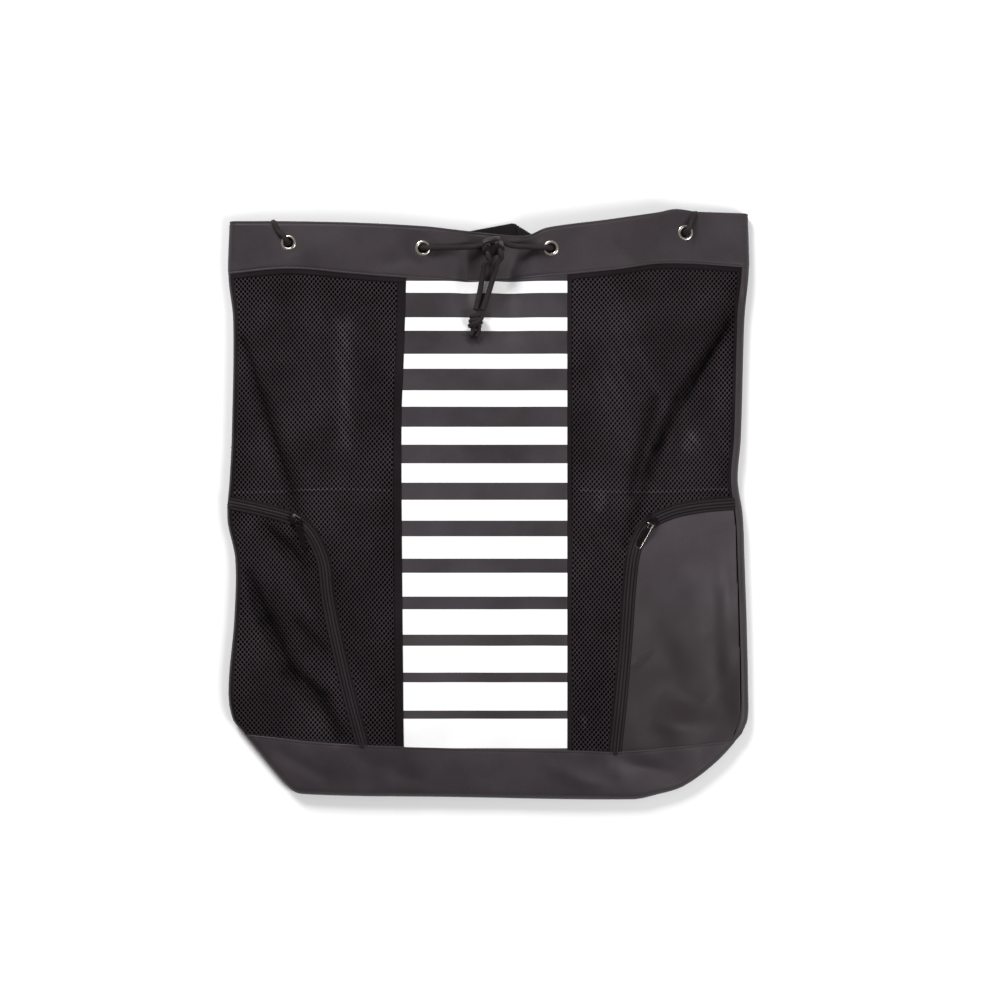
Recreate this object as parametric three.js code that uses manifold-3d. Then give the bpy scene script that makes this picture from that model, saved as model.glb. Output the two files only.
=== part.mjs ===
// Mesh dive gear bag, lying on its back as it does when it is put down empty.
// A sack of open mesh and coated cloth: a collar with a drawcord round the mouth, a coated centre
// panel between two mesh panels, a mesh pocket and a coated pocket with zips, and a coated base.
// Millimetres. +Z is up, out of the bag's front. +Y points to the mouth. The floor is Z = 0.
import * as THREE from "three";
import { mergeVertices } from "three/addons/utils/BufferGeometryUtils.js";
import Module from "manifold-3d";

const wasm = await Module();
wasm.setup();

// Driving sizes of the bag
const bagWidth = 524;
const bagHeight = 591;
const coatedWall = 1.6;
const edgeRadius = 7;
const loft = 17;
const loftReach = 150;
const seamGap = 0.3;
const sideWrap = 7;

// Driving sizes of the eyelets and the drawcord
const cordDiameter = 5;
const eyeletHoleRadius = 4.6;
const eyeletFlangeRadius = 7.8;
const eyeletMetal = 0.7;
const cordSides = 8;
const knotWidth = 17;
const knotLength = 22;
const knotHeight = 11;

// Driving sizes of the cord lock
const lockWidth = 22;
const lockHeight = 13;
const lockDepth = 8;
const lockTurn = 12;
const lockLean = 45;
const lockHoleSpacing = 12.6;
const buttonTravel = 3;
const buttonWidth = 18;
const stemWidth = 3.4;

// Driving sizes of the zips
const zipWidth = 12;
const chainWidth = 5;
const chainHeight = 1.5;
const sliderLength = 12;
const sliderWidth = 9;
const sliderPlate = 1.4;
const tabLength = 27;
const tabWidth = 6;
const tabThickness = 1.2;
const bailRadius = 2.8;
const bailWire = 0.7;

// Driving sizes of the shoulder straps and the grab loop
const padLength = 330;
const padWidth = 60;
const padThickness = 6.6;
const padSpacing = 100;
const strapTurn = 15;
const webbingWidth = 25;
const webbingThickness = 1.6;
const buckleBar = 4;
const buckleThickness = 2.4;
const loopRise = 10.5;
const loopCrease = -32;

// Materials, one finish to a kind of cloth or fitting
const finish = (color, roughness, metalness) => ({ color, roughness, metalness });
const finishes = {
  coated: finish(0x423d40, 0.55, 0),
  panel: finish(0x4b484b, 0.5, 0),
  mesh: finish(0x2c282b, 0.9, 0),
  webbing: finish(0x1f1c1d, 0.85, 0),
  zip: finish(0x262324, 0.7, 0),
  slider: finish(0x2a2828, 0.35, 0.8),
  nickel: finish(0xc9beb6, 0.25, 1),
  cord: finish(0x1c191a, 0.9, 0),
  plastic: finish(0x242224, 0.45, 0),
  padding: finish(0x2a2729, 0.9, 0),
};

// Outline of the bag as it lies. x is a share of the width, y of the height, both from the middle.
const sideRows = [
  { y: -0.389, left: -0.468, right: 0.487 },
  { y: -0.364, left: -0.49, right: 0.498 },
  { y: -0.313, left: -0.498, right: 0.499 },
  { y: -0.195, left: -0.487, right: 0.496 },
  { y: -0.093, left: -0.485, right: 0.492 },
  { y: -0.025, left: -0.5, right: 0.489 },
  { y: 0.042, left: -0.496, right: 0.479 },
  { y: 0.11, left: -0.492, right: 0.485 },
  { y: 0.313, left: -0.489, right: 0.492 },
  { y: 0.388, left: -0.498, right: 0.5 },
  { y: 0.482, left: -0.495, right: 0.498 },
];
const topRows = [
  { x: -0.495, y: 0.482 },
  { x: -0.273, y: 0.477 },
  { x: -0.12, y: 0.47 },
  { x: -0.057, y: 0.464 },
  { x: 0.07, y: 0.455 },
  { x: 0.113, y: 0.468 },
  { x: 0.231, y: 0.482 },
  { x: 0.323, y: 0.494 },
  { x: 0.357, y: 0.5 },
  { x: 0.401, y: 0.496 },
  { x: 0.498, y: 0.495 },
];
const bottomRows = [
  { x: -0.468, y: -0.389 },
  { x: -0.382, y: -0.48 },
  { x: -0.355, y: -0.491 },
  { x: -0.067, y: -0.496 },
  { x: 0.277, y: -0.5 },
  { x: 0.323, y: -0.492 },
  { x: 0.376, y: -0.477 },
  { x: 0.437, y: -0.437 },
  { x: 0.487, y: -0.389 },
];

// Seams across the bag: the collar's lower edge and the base's upper edge
const collarRows = [
  { x: -0.495, y: 0.393 },
  { x: -0.379, y: 0.4 },
  { x: -0.248, y: 0.39 },
  { x: -0.107, y: 0.381 },
  { x: -0.015, y: 0.378 },
  { x: 0.08, y: 0.384 },
  { x: 0.232, y: 0.397 },
  { x: 0.338, y: 0.409 },
  { x: 0.498, y: 0.404 },
];
const baseRows = [
  { x: -0.466, y: -0.391 },
  { x: -0.257, y: -0.406 },
  { x: 0.176, y: -0.416 },
  { x: 0.237, y: -0.418 },
  { x: 0.313, y: -0.414 },
  { x: 0.473, y: -0.401 },
];

// Long edges of the centre panel
const panelRows = [
  { y: -0.42, left: -0.16, right: 0.151 },
  { y: 0.0, left: -0.164, right: 0.151 },
  { y: 0.15, left: -0.164, right: 0.151 },
  { y: 0.245, left: -0.16, right: 0.151 },
  { y: 0.39, left: -0.155, right: 0.151 },
];

// Middle lines of the two zips, from the side seam round the pocket's corner to the base
const zipRows = {
  left: [
    { x: -0.56, y: 0.012 },
    { x: -0.49, y: 0.002 },
    { x: -0.421, y: -0.011 },
    { x: -0.375, y: -0.023 },
    { x: -0.355, y: -0.034 },
    { x: -0.337, y: -0.051 },
    { x: -0.314, y: -0.096 },
    { x: -0.305, y: -0.161 },
    { x: -0.27, y: -0.303 },
    { x: -0.24, y: -0.406 },
    { x: -0.23, y: -0.45 },
  ],
  right: [
    { x: 0.56, y: 0.009 },
    { x: 0.483, y: 0.003 },
    { x: 0.405, y: -0.003 },
    { x: 0.351, y: -0.013 },
    { x: 0.311, y: -0.03 },
    { x: 0.289, y: -0.054 },
    { x: 0.277, y: -0.085 },
    { x: 0.271, y: -0.127 },
    { x: 0.26, y: -0.262 },
    { x: 0.243, y: -0.416 },
    { x: 0.239, y: -0.46 },
  ],
};

// Folds of the front: a valley from one end to the other, depth and width as shares of the loft
const foldRows = [
  { name: "left mesh", x0: -0.475, y0: 0.284, x1: -0.358, y1: -0.025, width: 0.55, depth: 0.28 },
  { name: "right mesh", x0: 0.482, y0: 0.35, x1: 0.325, y1: 0.097, width: 0.55, depth: 0.3 },
  { name: "right mesh low", x0: 0.325, y0: 0.097, x1: 0.262, y1: -0.06, width: 0.5, depth: 0.26 },
  { name: "right mesh inner", x0: 0.31, y0: 0.178, x1: 0.272, y1: 0.02, width: 0.45, depth: 0.18 },
  { name: "pocket high", x0: -0.425, y0: -0.04, x1: -0.35, y1: -0.105, width: 0.55, depth: 0.26 },
  { name: "pocket long", x0: -0.46, y0: -0.12, x1: -0.375, y1: -0.285, width: 0.65, depth: 0.34 },
  { name: "pocket low", x0: -0.375, y0: -0.285, x1: -0.29, y1: -0.39, width: 0.6, depth: 0.3 },
  { name: "collar left", x0: -0.035, y0: 0.45, x1: -0.032, y1: 0.33, width: 0.8, depth: 0.3 },
  { name: "collar right", x0: 0.06, y0: 0.45, x1: 0.035, y1: 0.3, width: 1.1, depth: 0.36 },
  { name: "coated pocket", x0: 0.32, y0: -0.25, x1: 0.42, y1: -0.33, width: 1.6, depth: 0.12 },
  { name: "base", x0: 0.25, y0: -0.45, x1: 0.4, y1: -0.44, width: 1.2, depth: 0.16 },
];

// Eyelets of the front and the back, left to right
const eyeletRows = [
  { name: "eyelet_front_outer_left", face: "front", x: -0.38, y: 0.443 },
  { name: "eyelet_front_inner_left", face: "front", x: -0.124, y: 0.433 },
  { name: "eyelet_front_inner_right", face: "front", x: 0.12, y: 0.433 },
  { name: "eyelet_front_outer_right", face: "front", x: 0.376, y: 0.46 },
  { name: "eyelet_back_left", face: "back", x: -0.38, y: 0.44 },
  { name: "eyelet_back_right", face: "back", x: 0.376, y: 0.45 },
];

// Zip sliders: where each sits on its zip and which way its pull tab lies, in degrees from +X
const sliderRows = [
  { side: "left", x: -0.363, y: -0.028, turn: -33, tabTurn: -75 },
  { side: "right", x: 0.309, y: -0.032, turn: -127, tabTurn: -119 },
];

const sweep = (from, to, count, make) => Array.from(
  { length: count + 1 },
  (_, i) => make(THREE.MathUtils.lerp(from, to, i / count)),
);

const counted = (count, make) => Array.from({ length: count }, (_, i) => make(i));

// Cubic through the rows of a table: the value of one column at any place of another
function track(rows, key, value) {
  const slope = (i) => {
    const before = rows[Math.max(0, i - 1)];
    const after = rows[Math.min(rows.length - 1, i + 1)];
    return (after[value] - before[value]) / (after[key] - before[key]);
  };
  return (place) => {
    if (place <= rows[0][key]) return rows[0][value];
    if (place >= rows[rows.length - 1][key]) return rows[rows.length - 1][value];
    const i = rows.findIndex((row) => row[key] > place) - 1;
    const span = rows[i + 1][key] - rows[i][key];
    const t = (place - rows[i][key]) / span;
    const keepsNear = (1 + 2 * t) * (1 - t) ** 2;
    const leavesNear = t * (1 - t) ** 2 * span;
    const entersFar = t * t * (t - 1) * span;
    return keepsNear * rows[i][value] + leavesNear * slope(i)
      + (1 - keepsNear) * rows[i + 1][value] + entersFar * slope(i + 1);
  };
}

const inWidth = (share) => share * bagWidth;
const inHeight = (share) => share * bagHeight;
const acrossTrack = (rows, value) => {
  const read = track(rows, "y", value);
  return (y) => inWidth(read(y / bagHeight));
};
const alongTrack = (rows) => {
  const read = track(rows, "x", "y");
  return (x) => inHeight(read(x / bagWidth));
};

const leftEdge = acrossTrack(sideRows, "left");
const rightEdge = acrossTrack(sideRows, "right");
const topEdge = alongTrack(topRows);
const bottomEdge = alongTrack(bottomRows);
const collarSeam = alongTrack(collarRows);
const baseSeam = alongTrack(baseRows);
const panelLeft = acrossTrack(panelRows, "left");
const panelRight = acrossTrack(panelRows, "right");

// How far a place lies inside the side seams and the bottom edge, and the way out of the bag there
function rim(x, y) {
  const slope = (bottomEdge(x + edgeRadius) - bottomEdge(x - edgeRadius)) / (2 * edgeRadius);
  const steep = Math.hypot(1, slope);
  const left = Math.max(0, x - leftEdge(y));
  const right = Math.max(0, rightEdge(y) - x);
  const bottom = Math.max(0, (y - bottomEdge(x)) / steep);
  const side = Math.min(left, right);
  const outward = new THREE.Vector2();
  if (side <= bottom + 1e-6) outward.x += left < right ? -1 : 1;
  if (bottom <= side + 1e-6) outward.add(new THREE.Vector2(slope / steep, -1 / steep));
  return { side, bottom, distance: Math.min(side, bottom), outward: outward.normalize() };
}

const clamp = (value) => Math.min(1, Math.max(0, value));
const ease = (value) => clamp(value) ** 2 * (3 - 2 * clamp(value));
const roundOver = (distance) => Math.sqrt(1 - (1 - clamp(distance / edgeRadius)) ** 2);
const dome = (distance) => 1 - (1 - clamp(distance / loftReach)) ** 2;

// Depth of the folds at a place: a bell across each valley, fading out at both ends
function foldDepth(x, y) {
  let depth = 0;
  for (const row of foldRows) {
    const start = new THREE.Vector2(inWidth(row.x0), inHeight(row.y0));
    const run = new THREE.Vector2(inWidth(row.x1), inHeight(row.y1)).sub(start);
    const place = new THREE.Vector2(x, y).sub(start);
    const along = clamp(place.dot(run) / run.lengthSq());
    const away = place.addScaledVector(run, -along).length() / (row.width * loft);
    const fade = 0.45 + 0.55 * Math.sin(Math.PI * along);
    depth += row.depth * loft * fade * Math.exp(-away * away);
  }
  return depth;
}

function frontHeight(x, y) {
  const { side, bottom, distance } = rim(x, y);
  const swell = dome(side) * dome(bottom * 1.6);
  return edgeRadius + edgeRadius * roundOver(distance) + loft * swell
    - foldDepth(x, y) * clamp(distance / (3 * edgeRadius));
}

// The back lies on the floor, and is raised where the straps, the loop and the cord are under it
const padClear = padThickness + seamGap;
const webbingClear = webbingThickness + 3 * seamGap;
const cordClear = cordDiameter + 6 * seamGap + 1.5 * eyeletMetal;
const fall = 5 * edgeRadius;
const strapSlope = Math.tan(THREE.MathUtils.degToRad(strapTurn));
const padTop = inHeight(0.36);
const padBottom = padTop - padLength;
const padEndX = padSpacing / 2 + strapSlope * padLength / 2;
const buckleLength = 3 * buckleBar + 4 * webbingThickness;
const webbingEndY = inHeight(-0.403);
const webbingEndX = padEndX + strapSlope * (padBottom - webbingEndY);

function raised(x, y, halfWidth, lowest) {
  const across = ease((halfWidth + fall - Math.abs(x)) / fall);
  return across * ease((y - lowest + fall) / fall);
}

function backHeight(x, y) {
  const { side, distance } = rim(x, y);
  const pads = padClear * raised(x, y, padEndX + padWidth, padBottom - 3 * buckleLength);
  const webs = webbingClear * raised(x, y, webbingEndX + 2 * webbingWidth, webbingEndY - webbingWidth);
  const mouth = cordClear * ease((y - collarSeam(x) + fall) / fall);
  const lift = Math.max(pads, webs, mouth) * ease((side - edgeRadius) / (fall / 2));
  return edgeRadius - (edgeRadius - lift) * roundOver(distance);
}

// Outward direction of the cloth: level at the side seams, turning upright over the rounded edge
function clothNormal(x, y, up) {
  const { distance, outward } = rim(x, y);
  const level = 1 - clamp(distance / edgeRadius);
  return new THREE.Vector3(outward.x * level, outward.y * level, up * Math.sqrt(1 - level * level));
}

const seat = {
  front: (x, y) => new THREE.Vector3(x, y, frontHeight(x, y)),
  back: (x, y) => new THREE.Vector3(x, y, backHeight(x, y)),
};
const above = (x, y, rise) => seat.front(x, y).addScaledVector(clothNormal(x, y, 1), rise);
const below = (x, y, drop) => seat.back(x, y).addScaledVector(clothNormal(x, y, -1), drop);

// Closed solids and their joining and cutting
function solidOf(geometry) {
  const plain = geometry.clone();
  plain.deleteAttribute("normal");
  plain.deleteAttribute("uv");
  const merged = mergeVertices(plain, 1e-4);
  return new wasm.Manifold(new wasm.Mesh({
    numProp: 3,
    vertProperties: new Float32Array(merged.attributes.position.array),
    triVerts: new Uint32Array(merged.index.array),
  }));
}

function geometryOf(solid) {
  const mesh = solid.getMesh();
  const geometry = new THREE.BufferGeometry();
  geometry.setAttribute("position", new THREE.BufferAttribute(mesh.vertProperties, 3));
  geometry.setIndex(new THREE.BufferAttribute(mesh.triVerts, 1));
  return geometry;
}

// A sheet of cloth over the whole front or back, between two distances from the outer surface.
// Its grid is fine at the rounded edges: the first steps in from each seam are shares of the edge.
const edgeSteps = [0, 0.2, 1].map((share) => share * edgeRadius);
function gridStops(length, cells, roundEnds) {
  const steps = edgeSteps.map((step) => step / length);
  const last = roundEnds === 2 ? 1 - steps[steps.length - 1] : 1;
  const first = steps[steps.length - 1];
  const middle = Array.from({ length: cells - 1 }, (_, i) => first + (last - first) * ((i + 1) / cells));
  const closing = roundEnds === 2 ? steps.map((step) => 1 - step).reverse() : [1];
  return [...steps, ...middle, ...closing];
}

// Closed slab of two matching grids, both split along the same diagonals, and its four side walls
function slab(columns, rows, pointAt) {
  const width = columns + 1;
  const layer = width * (rows + 1);
  const positions = [0, 1].flatMap((level) => counted(rows + 1, (j) => counted(width,
    (i) => pointAt(i, j, level).toArray())).flat(2));
  const triangles = [];
  const quad = (a, b, c, d) => triangles.push(a, b, c, a, c, d);
  for (let j = 0; j < rows; j += 1) {
    for (let i = 0; i < columns; i += 1) {
      const corner = j * width + i;
      const [a, b, c, d] = [corner, corner + 1, corner + width + 1, corner + width];
      quad(a + layer, b + layer, c + layer, d + layer);
      triangles.push(a, c, b, a, d, c);
    }
  }
  for (let i = 0; i < columns; i += 1) {
    const last = rows * width + i;
    quad(i, i + 1, i + 1 + layer, i + layer);
    quad(last + 1, last, last + layer, last + 1 + layer);
  }
  for (let j = 0; j < rows; j += 1) {
    const left = j * width;
    const right = left + columns;
    quad(left + width, left, left + layer, left + width + layer);
    quad(right, right + width, right + width + layer, right + layer);
  }
  const geometry = new THREE.BufferGeometry();
  geometry.setAttribute("position", new THREE.Float32BufferAttribute(positions, 3));
  geometry.setIndex(triangles);
  return geometry;
}

const sideBottom = sideRows[0].y;
const sideTop = sideRows[sideRows.length - 1].y;
const sideHeight = (v) => inHeight(THREE.MathUtils.lerp(sideBottom, sideTop, v));

function sheet(face, low, high, acrossCells, alongCells) {
  const acrossStops = gridStops(bagWidth, acrossCells, 2);
  const alongStops = gridStops(bagHeight * (sideTop - sideBottom), alongCells, 1);
  const rimGap = (face === "front" ? seamGap : -seamGap) / 2;
  const pointAt = (i, j, level) => {
    const y0 = sideHeight(alongStops[j]);
    const x = THREE.MathUtils.lerp(leftEdge(y0), rightEdge(y0), acrossStops[i]);
    const y = THREE.MathUtils.lerp(bottomEdge(x), topEdge(x), alongStops[j]);
    const outer = (level === 1) === (face === "front");
    const point = (face === "front" ? above : below)(x, y, outer ? high : low);
    const onRim = i === 0 || j === 0 || i === acrossStops.length - 1;
    if (onRim) point.z = edgeRadius + rimGap;
    return point;
  };
  return solidOf(slab(acrossStops.length - 1, alongStops.length - 1, pointAt));
}

const frontSheet = (low, high) => sheet("front", low, high, 16, 13);
const backSheet = (low, high) => sheet("back", low, high, 12, 9);

// Upright prisms over an outline seen from above
const tall = bagWidth;
function prism(points) {
  const shape = new THREE.Shape(points.map(([x, y]) => new THREE.Vector2(x, y)));
  const geometry = new THREE.ExtrudeGeometry(shape, { depth: tall, bevelEnabled: false });
  return solidOf(geometry.translate(0, 0, -tall / 2));
}

const beyond = bagWidth;
const aboveLine = (line, shift) => prism([
  ...sweep(-beyond / 2 - 20, beyond / 2 + 20, 12, (x) => [x, line(x) + shift]),
  [beyond, beyond],
  [-beyond, beyond],
]);
const rightOfLine = (line, shift) => prism([
  ...sweep(beyond, -beyond, 24, (y) => [line(y) + shift, y]),
  [beyond * 2, -beyond],
  [beyond * 2, beyond],
]);

// A zip's middle line in plan, and the pocket's side of a line beside it
function zipLine(side) {
  const points = zipRows[side].map((row) => new THREE.Vector3(inWidth(row.x), inHeight(row.y), 0));
  return new THREE.CatmullRomCurve3(points, false, "centripetal");
}

function pocketZone(side, shift) {
  const curve = zipLine(side);
  const sign = side === "left" ? -1 : 1;
  const points = sweep(0, 1, 20, (t) => {
    const at = curve.getPointAt(t);
    const tangent = curve.getTangentAt(t);
    return [at.x + sign * -tangent.y * shift, at.y + sign * tangent.x * shift];
  });
  return prism([...points, [sign * beyond, -beyond], [sign * beyond, 0]]);
}

const zipBand = (side, width) => pocketZone(side, -width / 2).subtract(pocketZone(side, width / 2));

// The bag's cloth as one front and one back, and the strip that closes them along the edge
const half = seamGap / 2;
const frontCloth = frontSheet(-coatedWall, 0);
const backCloth = backSheet(-coatedWall, 0);
const edgeStrip = (() => {
  const outline = (inset) => [
    ...sweep(0, 1, 9, (v) => [rightEdge(sideHeight(v)) - inset, sideHeight(v)]),
    ...sweep(1, 0, 9, (v) => [leftEdge(sideHeight(v)) + inset, sideHeight(v)]),
    ...sweep(0.03, 0.97, 12, (u) => {
      const x = THREE.MathUtils.lerp(leftEdge(-bagHeight), rightEdge(-bagHeight), u);
      return [x, bottomEdge(x) + inset];
    }),
  ];
  const plate = (inset) => {
    const shape = new THREE.Shape(outline(inset).map(([x, y]) => new THREE.Vector2(x, y)));
    const geometry = new THREE.ExtrudeGeometry(shape, { depth: 3, bevelEnabled: false });
    return solidOf(geometry.translate(0, 0, edgeRadius - 1.5));
  };
  const open = prism([[leftEdge(0) + edgeRadius, 0], [rightEdge(0) - edgeRadius, 0],
    [rightEdge(0) - edgeRadius, bagHeight], [leftEdge(0) + edgeRadius, bagHeight]]);
  return plate(0.1).subtract(plate(coatedWall - 0.1)).subtract(open);
})();

const collarZone = aboveLine(collarSeam, half);
const underCollar = aboveLine(collarSeam, -half);
const aboveBase = aboveLine(baseSeam, half);
const upToBase = aboveLine(baseSeam, -half);
const sideStrip = rightOfLine((y) => rightEdge(y) - sideWrap, half);
const upToStrip = rightOfLine((y) => rightEdge(y) - sideWrap, -half);
const ring = frontCloth.add(backCloth).add(edgeStrip);
const frontField = frontCloth.subtract(underCollar).intersect(aboveBase).subtract(upToStrip);

const bag = new THREE.Group();
function addPiece(name, geometry, kind, parent = bag) {
  const mesh = new THREE.Mesh(geometry, new THREE.MeshStandardMaterial(finishes[kind]));
  mesh.name = name;
  parent.add(mesh);
  return mesh;
}

// Eyelet: a nickel tube with a rolled flange on both sides of the cloth
const eyeletBarrel = eyeletHoleRadius + eyeletMetal;
function eyeletProfile() {
  const flange = seamGap;
  const rows = [
    [eyeletHoleRadius, -coatedWall - flange - eyeletMetal],
    [eyeletFlangeRadius, -coatedWall - flange - eyeletMetal * 0.5],
    [eyeletFlangeRadius, -coatedWall - flange],
    [eyeletBarrel, -coatedWall - flange],
    [eyeletBarrel, flange],
    [eyeletFlangeRadius, flange],
    [(eyeletFlangeRadius + eyeletHoleRadius) / 2, flange + eyeletMetal * 1.5],
    [eyeletHoleRadius, flange + eyeletMetal * 0.6],
  ];
  return [...rows, rows[0]].map(([r, z]) => new THREE.Vector2(r, z));
}

// A piece's place on the cloth, square to it: the slope is taken over a step about the piece's size
function clothPose(face, x, y, step, turn = 0) {
  const height = face === "front" ? frontHeight : backHeight;
  const up = face === "front" ? 1 : -1;
  const slopeX = (height(x + step, y) - height(x - step, y)) / (2 * step);
  const slopeY = (height(x, y + step) - height(x, y - step)) / (2 * step);
  const normal = new THREE.Vector3(-slopeX, -slopeY, 1).normalize().multiplyScalar(up);
  const square = new THREE.Quaternion().setFromUnitVectors(new THREE.Vector3(0, 0, 1), normal);
  const spin = new THREE.Quaternion().setFromAxisAngle(
    new THREE.Vector3(0, 0, 1),
    THREE.MathUtils.degToRad(turn),
  );
  return new THREE.Matrix4().compose(seat[face](x, y), square.multiply(spin), new THREE.Vector3(1, 1, 1));
}
const eyeletPose = (row) => clothPose(row.face, inWidth(row.x), inHeight(row.y), eyeletFlangeRadius);

const upright = (geometry) => geometry.rotateX(Math.PI / 2);
const disc = (radius, low, high) => upright(new THREE.CylinderGeometry(radius, radius, high - low, 8))
  .translate(0, 0, (low + high) / 2);

let collarCloth = ring.intersect(collarZone);
for (const row of eyeletRows) {
  const reach = eyeletFlangeRadius + seamGap;
  const cuts = [
    disc(eyeletBarrel + seamGap, -3 * coatedWall, 3 * coatedWall),
    disc(reach, 0, 3 * coatedWall),
    disc(reach, -4 * coatedWall, -coatedWall),
  ];
  for (const cut of cuts) {
    collarCloth = collarCloth.subtract(solidOf(cut.applyMatrix4(eyeletPose(row))));
  }
}

addPiece("base", geometryOf(ring.subtract(upToBase)), "coated");
const backField = backCloth.intersect(aboveBase).subtract(underCollar);
const wrap = frontCloth.add(edgeStrip).intersect(sideStrip).intersect(aboveBase).subtract(underCollar);
addPiece("back_panel", geometryOf(backField.add(wrap)), "coated");

const rightOfPanel = rightOfLine(panelRight, half);
const pastPanelRight = rightOfLine(panelRight, -half);
const rightOfStart = rightOfLine(panelLeft, half);
const pastPanelLeft = rightOfLine(panelLeft, -half);
addPiece("center_panel", geometryOf(frontField.intersect(rightOfStart).subtract(pastPanelRight)), "panel");

const sideFields = {
  left: frontField.subtract(pastPanelLeft),
  right: frontField.intersect(rightOfPanel),
};
for (const side of ["left", "right"]) {
  const field = sideFields[side];
  const pocketKind = side === "left" ? "mesh" : "coated";
  addPiece(`mesh_${side}`, geometryOf(field.subtract(pocketZone(side, -zipWidth / 2 - half))), "mesh");
  addPiece(`pocket_${side}`, geometryOf(field.intersect(pocketZone(side, zipWidth / 2 + half))), pocketKind);
  addPiece(`zip_tape_${side}`, geometryOf(field.intersect(zipBand(side, zipWidth - seamGap))), "zip");
}

for (const row of eyeletRows) {
  const bore = upright(new THREE.LatheGeometry(eyeletProfile(), 8)).applyMatrix4(eyeletPose(row));
  addPiece(row.name, geometryOf(solidOf(bore)), "nickel");
}

// Zip chain: a low ridge along the middle of the tape
const chainTop = seamGap + chainHeight;
const chainSheet = frontSheet(seamGap, chainTop)
  .subtract(aboveLine(collarSeam, -half))
  .intersect(aboveBase)
  .subtract(upToStrip);
for (const side of ["left", "right"]) {
  addPiece(`zip_chain_${side}`, geometryOf(chainSheet.intersect(zipBand(side, chainWidth))), "zip");
}

// A round section carried along a route; each step ends at a point of the route
class Route extends THREE.CatmullRomCurve3 {
  getUtoTmapping(u) {
    return u;
  }
}

function rod(points, radius, sides) {
  const section = new THREE.Shape(counted(sides, (i) => new THREE.Vector2(
    radius * Math.cos((2 * Math.PI * i) / sides),
    radius * Math.sin((2 * Math.PI * i) / sides),
  )));
  const path = new Route(points, false, "centripetal");
  return new THREE.ExtrudeGeometry(section, { steps: points.length - 1, extrudePath: path });
}

const plate = (points, low, high) => new THREE.ExtrudeGeometry(
  new THREE.Shape(points.map(([x, y]) => new THREE.Vector2(x, y))),
  { depth: high - low, bevelEnabled: false },
).translate(0, 0, low);

const roundedBar = (x0, x1, halfWidth, corner) => [
  [x0, -halfWidth + corner], [x0 + corner, -halfWidth], [x1 - corner, -halfWidth],
  [x1, -halfWidth + corner], [x1, halfWidth - corner], [x1 - corner, halfWidth],
  [x0 + corner, halfWidth], [x0, halfWidth - corner],
];

// Zip slider: a plate over the chain with two cheeks beside it, and a bail for the pull tab
const plateTop = chainTop + seamGap + sliderPlate;
const barRise = 1.5;
const sliderNose = bailRadius + bailWire;
const chainRoom = frontSheet(-coatedWall, chainTop + seamGap);
const clothRoom = frontSheet(-3 * coatedWall, seamGap);
for (const row of sliderRows) {
  const x = inWidth(row.x);
  const y = inHeight(row.y);
  const outline = roundedBar(sliderNose - sliderLength, sliderNose, sliderWidth / 2, 2);
  const blank = plate(outline, -coatedWall, plateTop);
  const block = solidOf(blank.applyMatrix4(clothPose("front", x, y, tabWidth, row.turn)));
  const channel = chainRoom.intersect(zipBand(row.side, chainWidth + 6 * seamGap));
  const legs = plateTop - sliderPlate / 2;
  const bail = rod([
    new THREE.Vector3(-bailRadius, 0, legs),
    ...sweep(180, 0, 8, (angle) => new THREE.Vector3(
      bailRadius * Math.cos(THREE.MathUtils.degToRad(angle)),
      0,
      plateTop + barRise + bailRadius * Math.sin(THREE.MathUtils.degToRad(angle)),
    )),
    new THREE.Vector3(bailRadius, 0, legs),
  ], bailWire, 6);
  const tabPose = clothPose("front", x, y, tabWidth, row.tabTurn);
  const slider = block.subtract(channel).subtract(clothRoom)
    .add(solidOf(bail.applyMatrix4(tabPose)));
  addPiece(`zip_slider_${row.side}`, geometryOf(slider), "slider");

  const pivot = new THREE.Vector3(0, 0, plateTop + barRise).applyMatrix4(tabPose);
  const reach = new THREE.Vector3(tabLength, 0, 0).applyMatrix4(tabPose);
  const tip = above(reach.x, reach.y, chainTop + seamGap + tabThickness / 2);
  const turned = THREE.MathUtils.degToRad(row.tabTurn);
  const drop = Math.atan2(pivot.z - tip.z, Math.hypot(tip.x - pivot.x, tip.y - pivot.y));
  const holder = new THREE.Group();
  holder.position.copy(pivot);
  holder.rotation.set(0, drop, turned, "ZYX");
  const barHalf = 0.7;
  const body = new THREE.Shape(roundedBar(-barHalf, tabLength, tabWidth / 2, 1)
    .map(([a, b]) => new THREE.Vector2(a, b)));
  const slotFar = bailRadius + bailWire + 0.5;
  const slotSide = bailWire + 0.4;
  body.holes.push(new THREE.Path([[barHalf, -slotSide], [barHalf, slotSide], [slotFar, slotSide],
    [slotFar, -slotSide]].map(([a, b]) => new THREE.Vector2(a, b))));
  const tab = new THREE.ExtrudeGeometry(body, { depth: tabThickness, bevelEnabled: false });
  addPiece(`zip_pull_${row.side}`, tab.translate(0, 0, -tabThickness / 2), "slider", holder);
  bag.add(holder);
}

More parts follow.
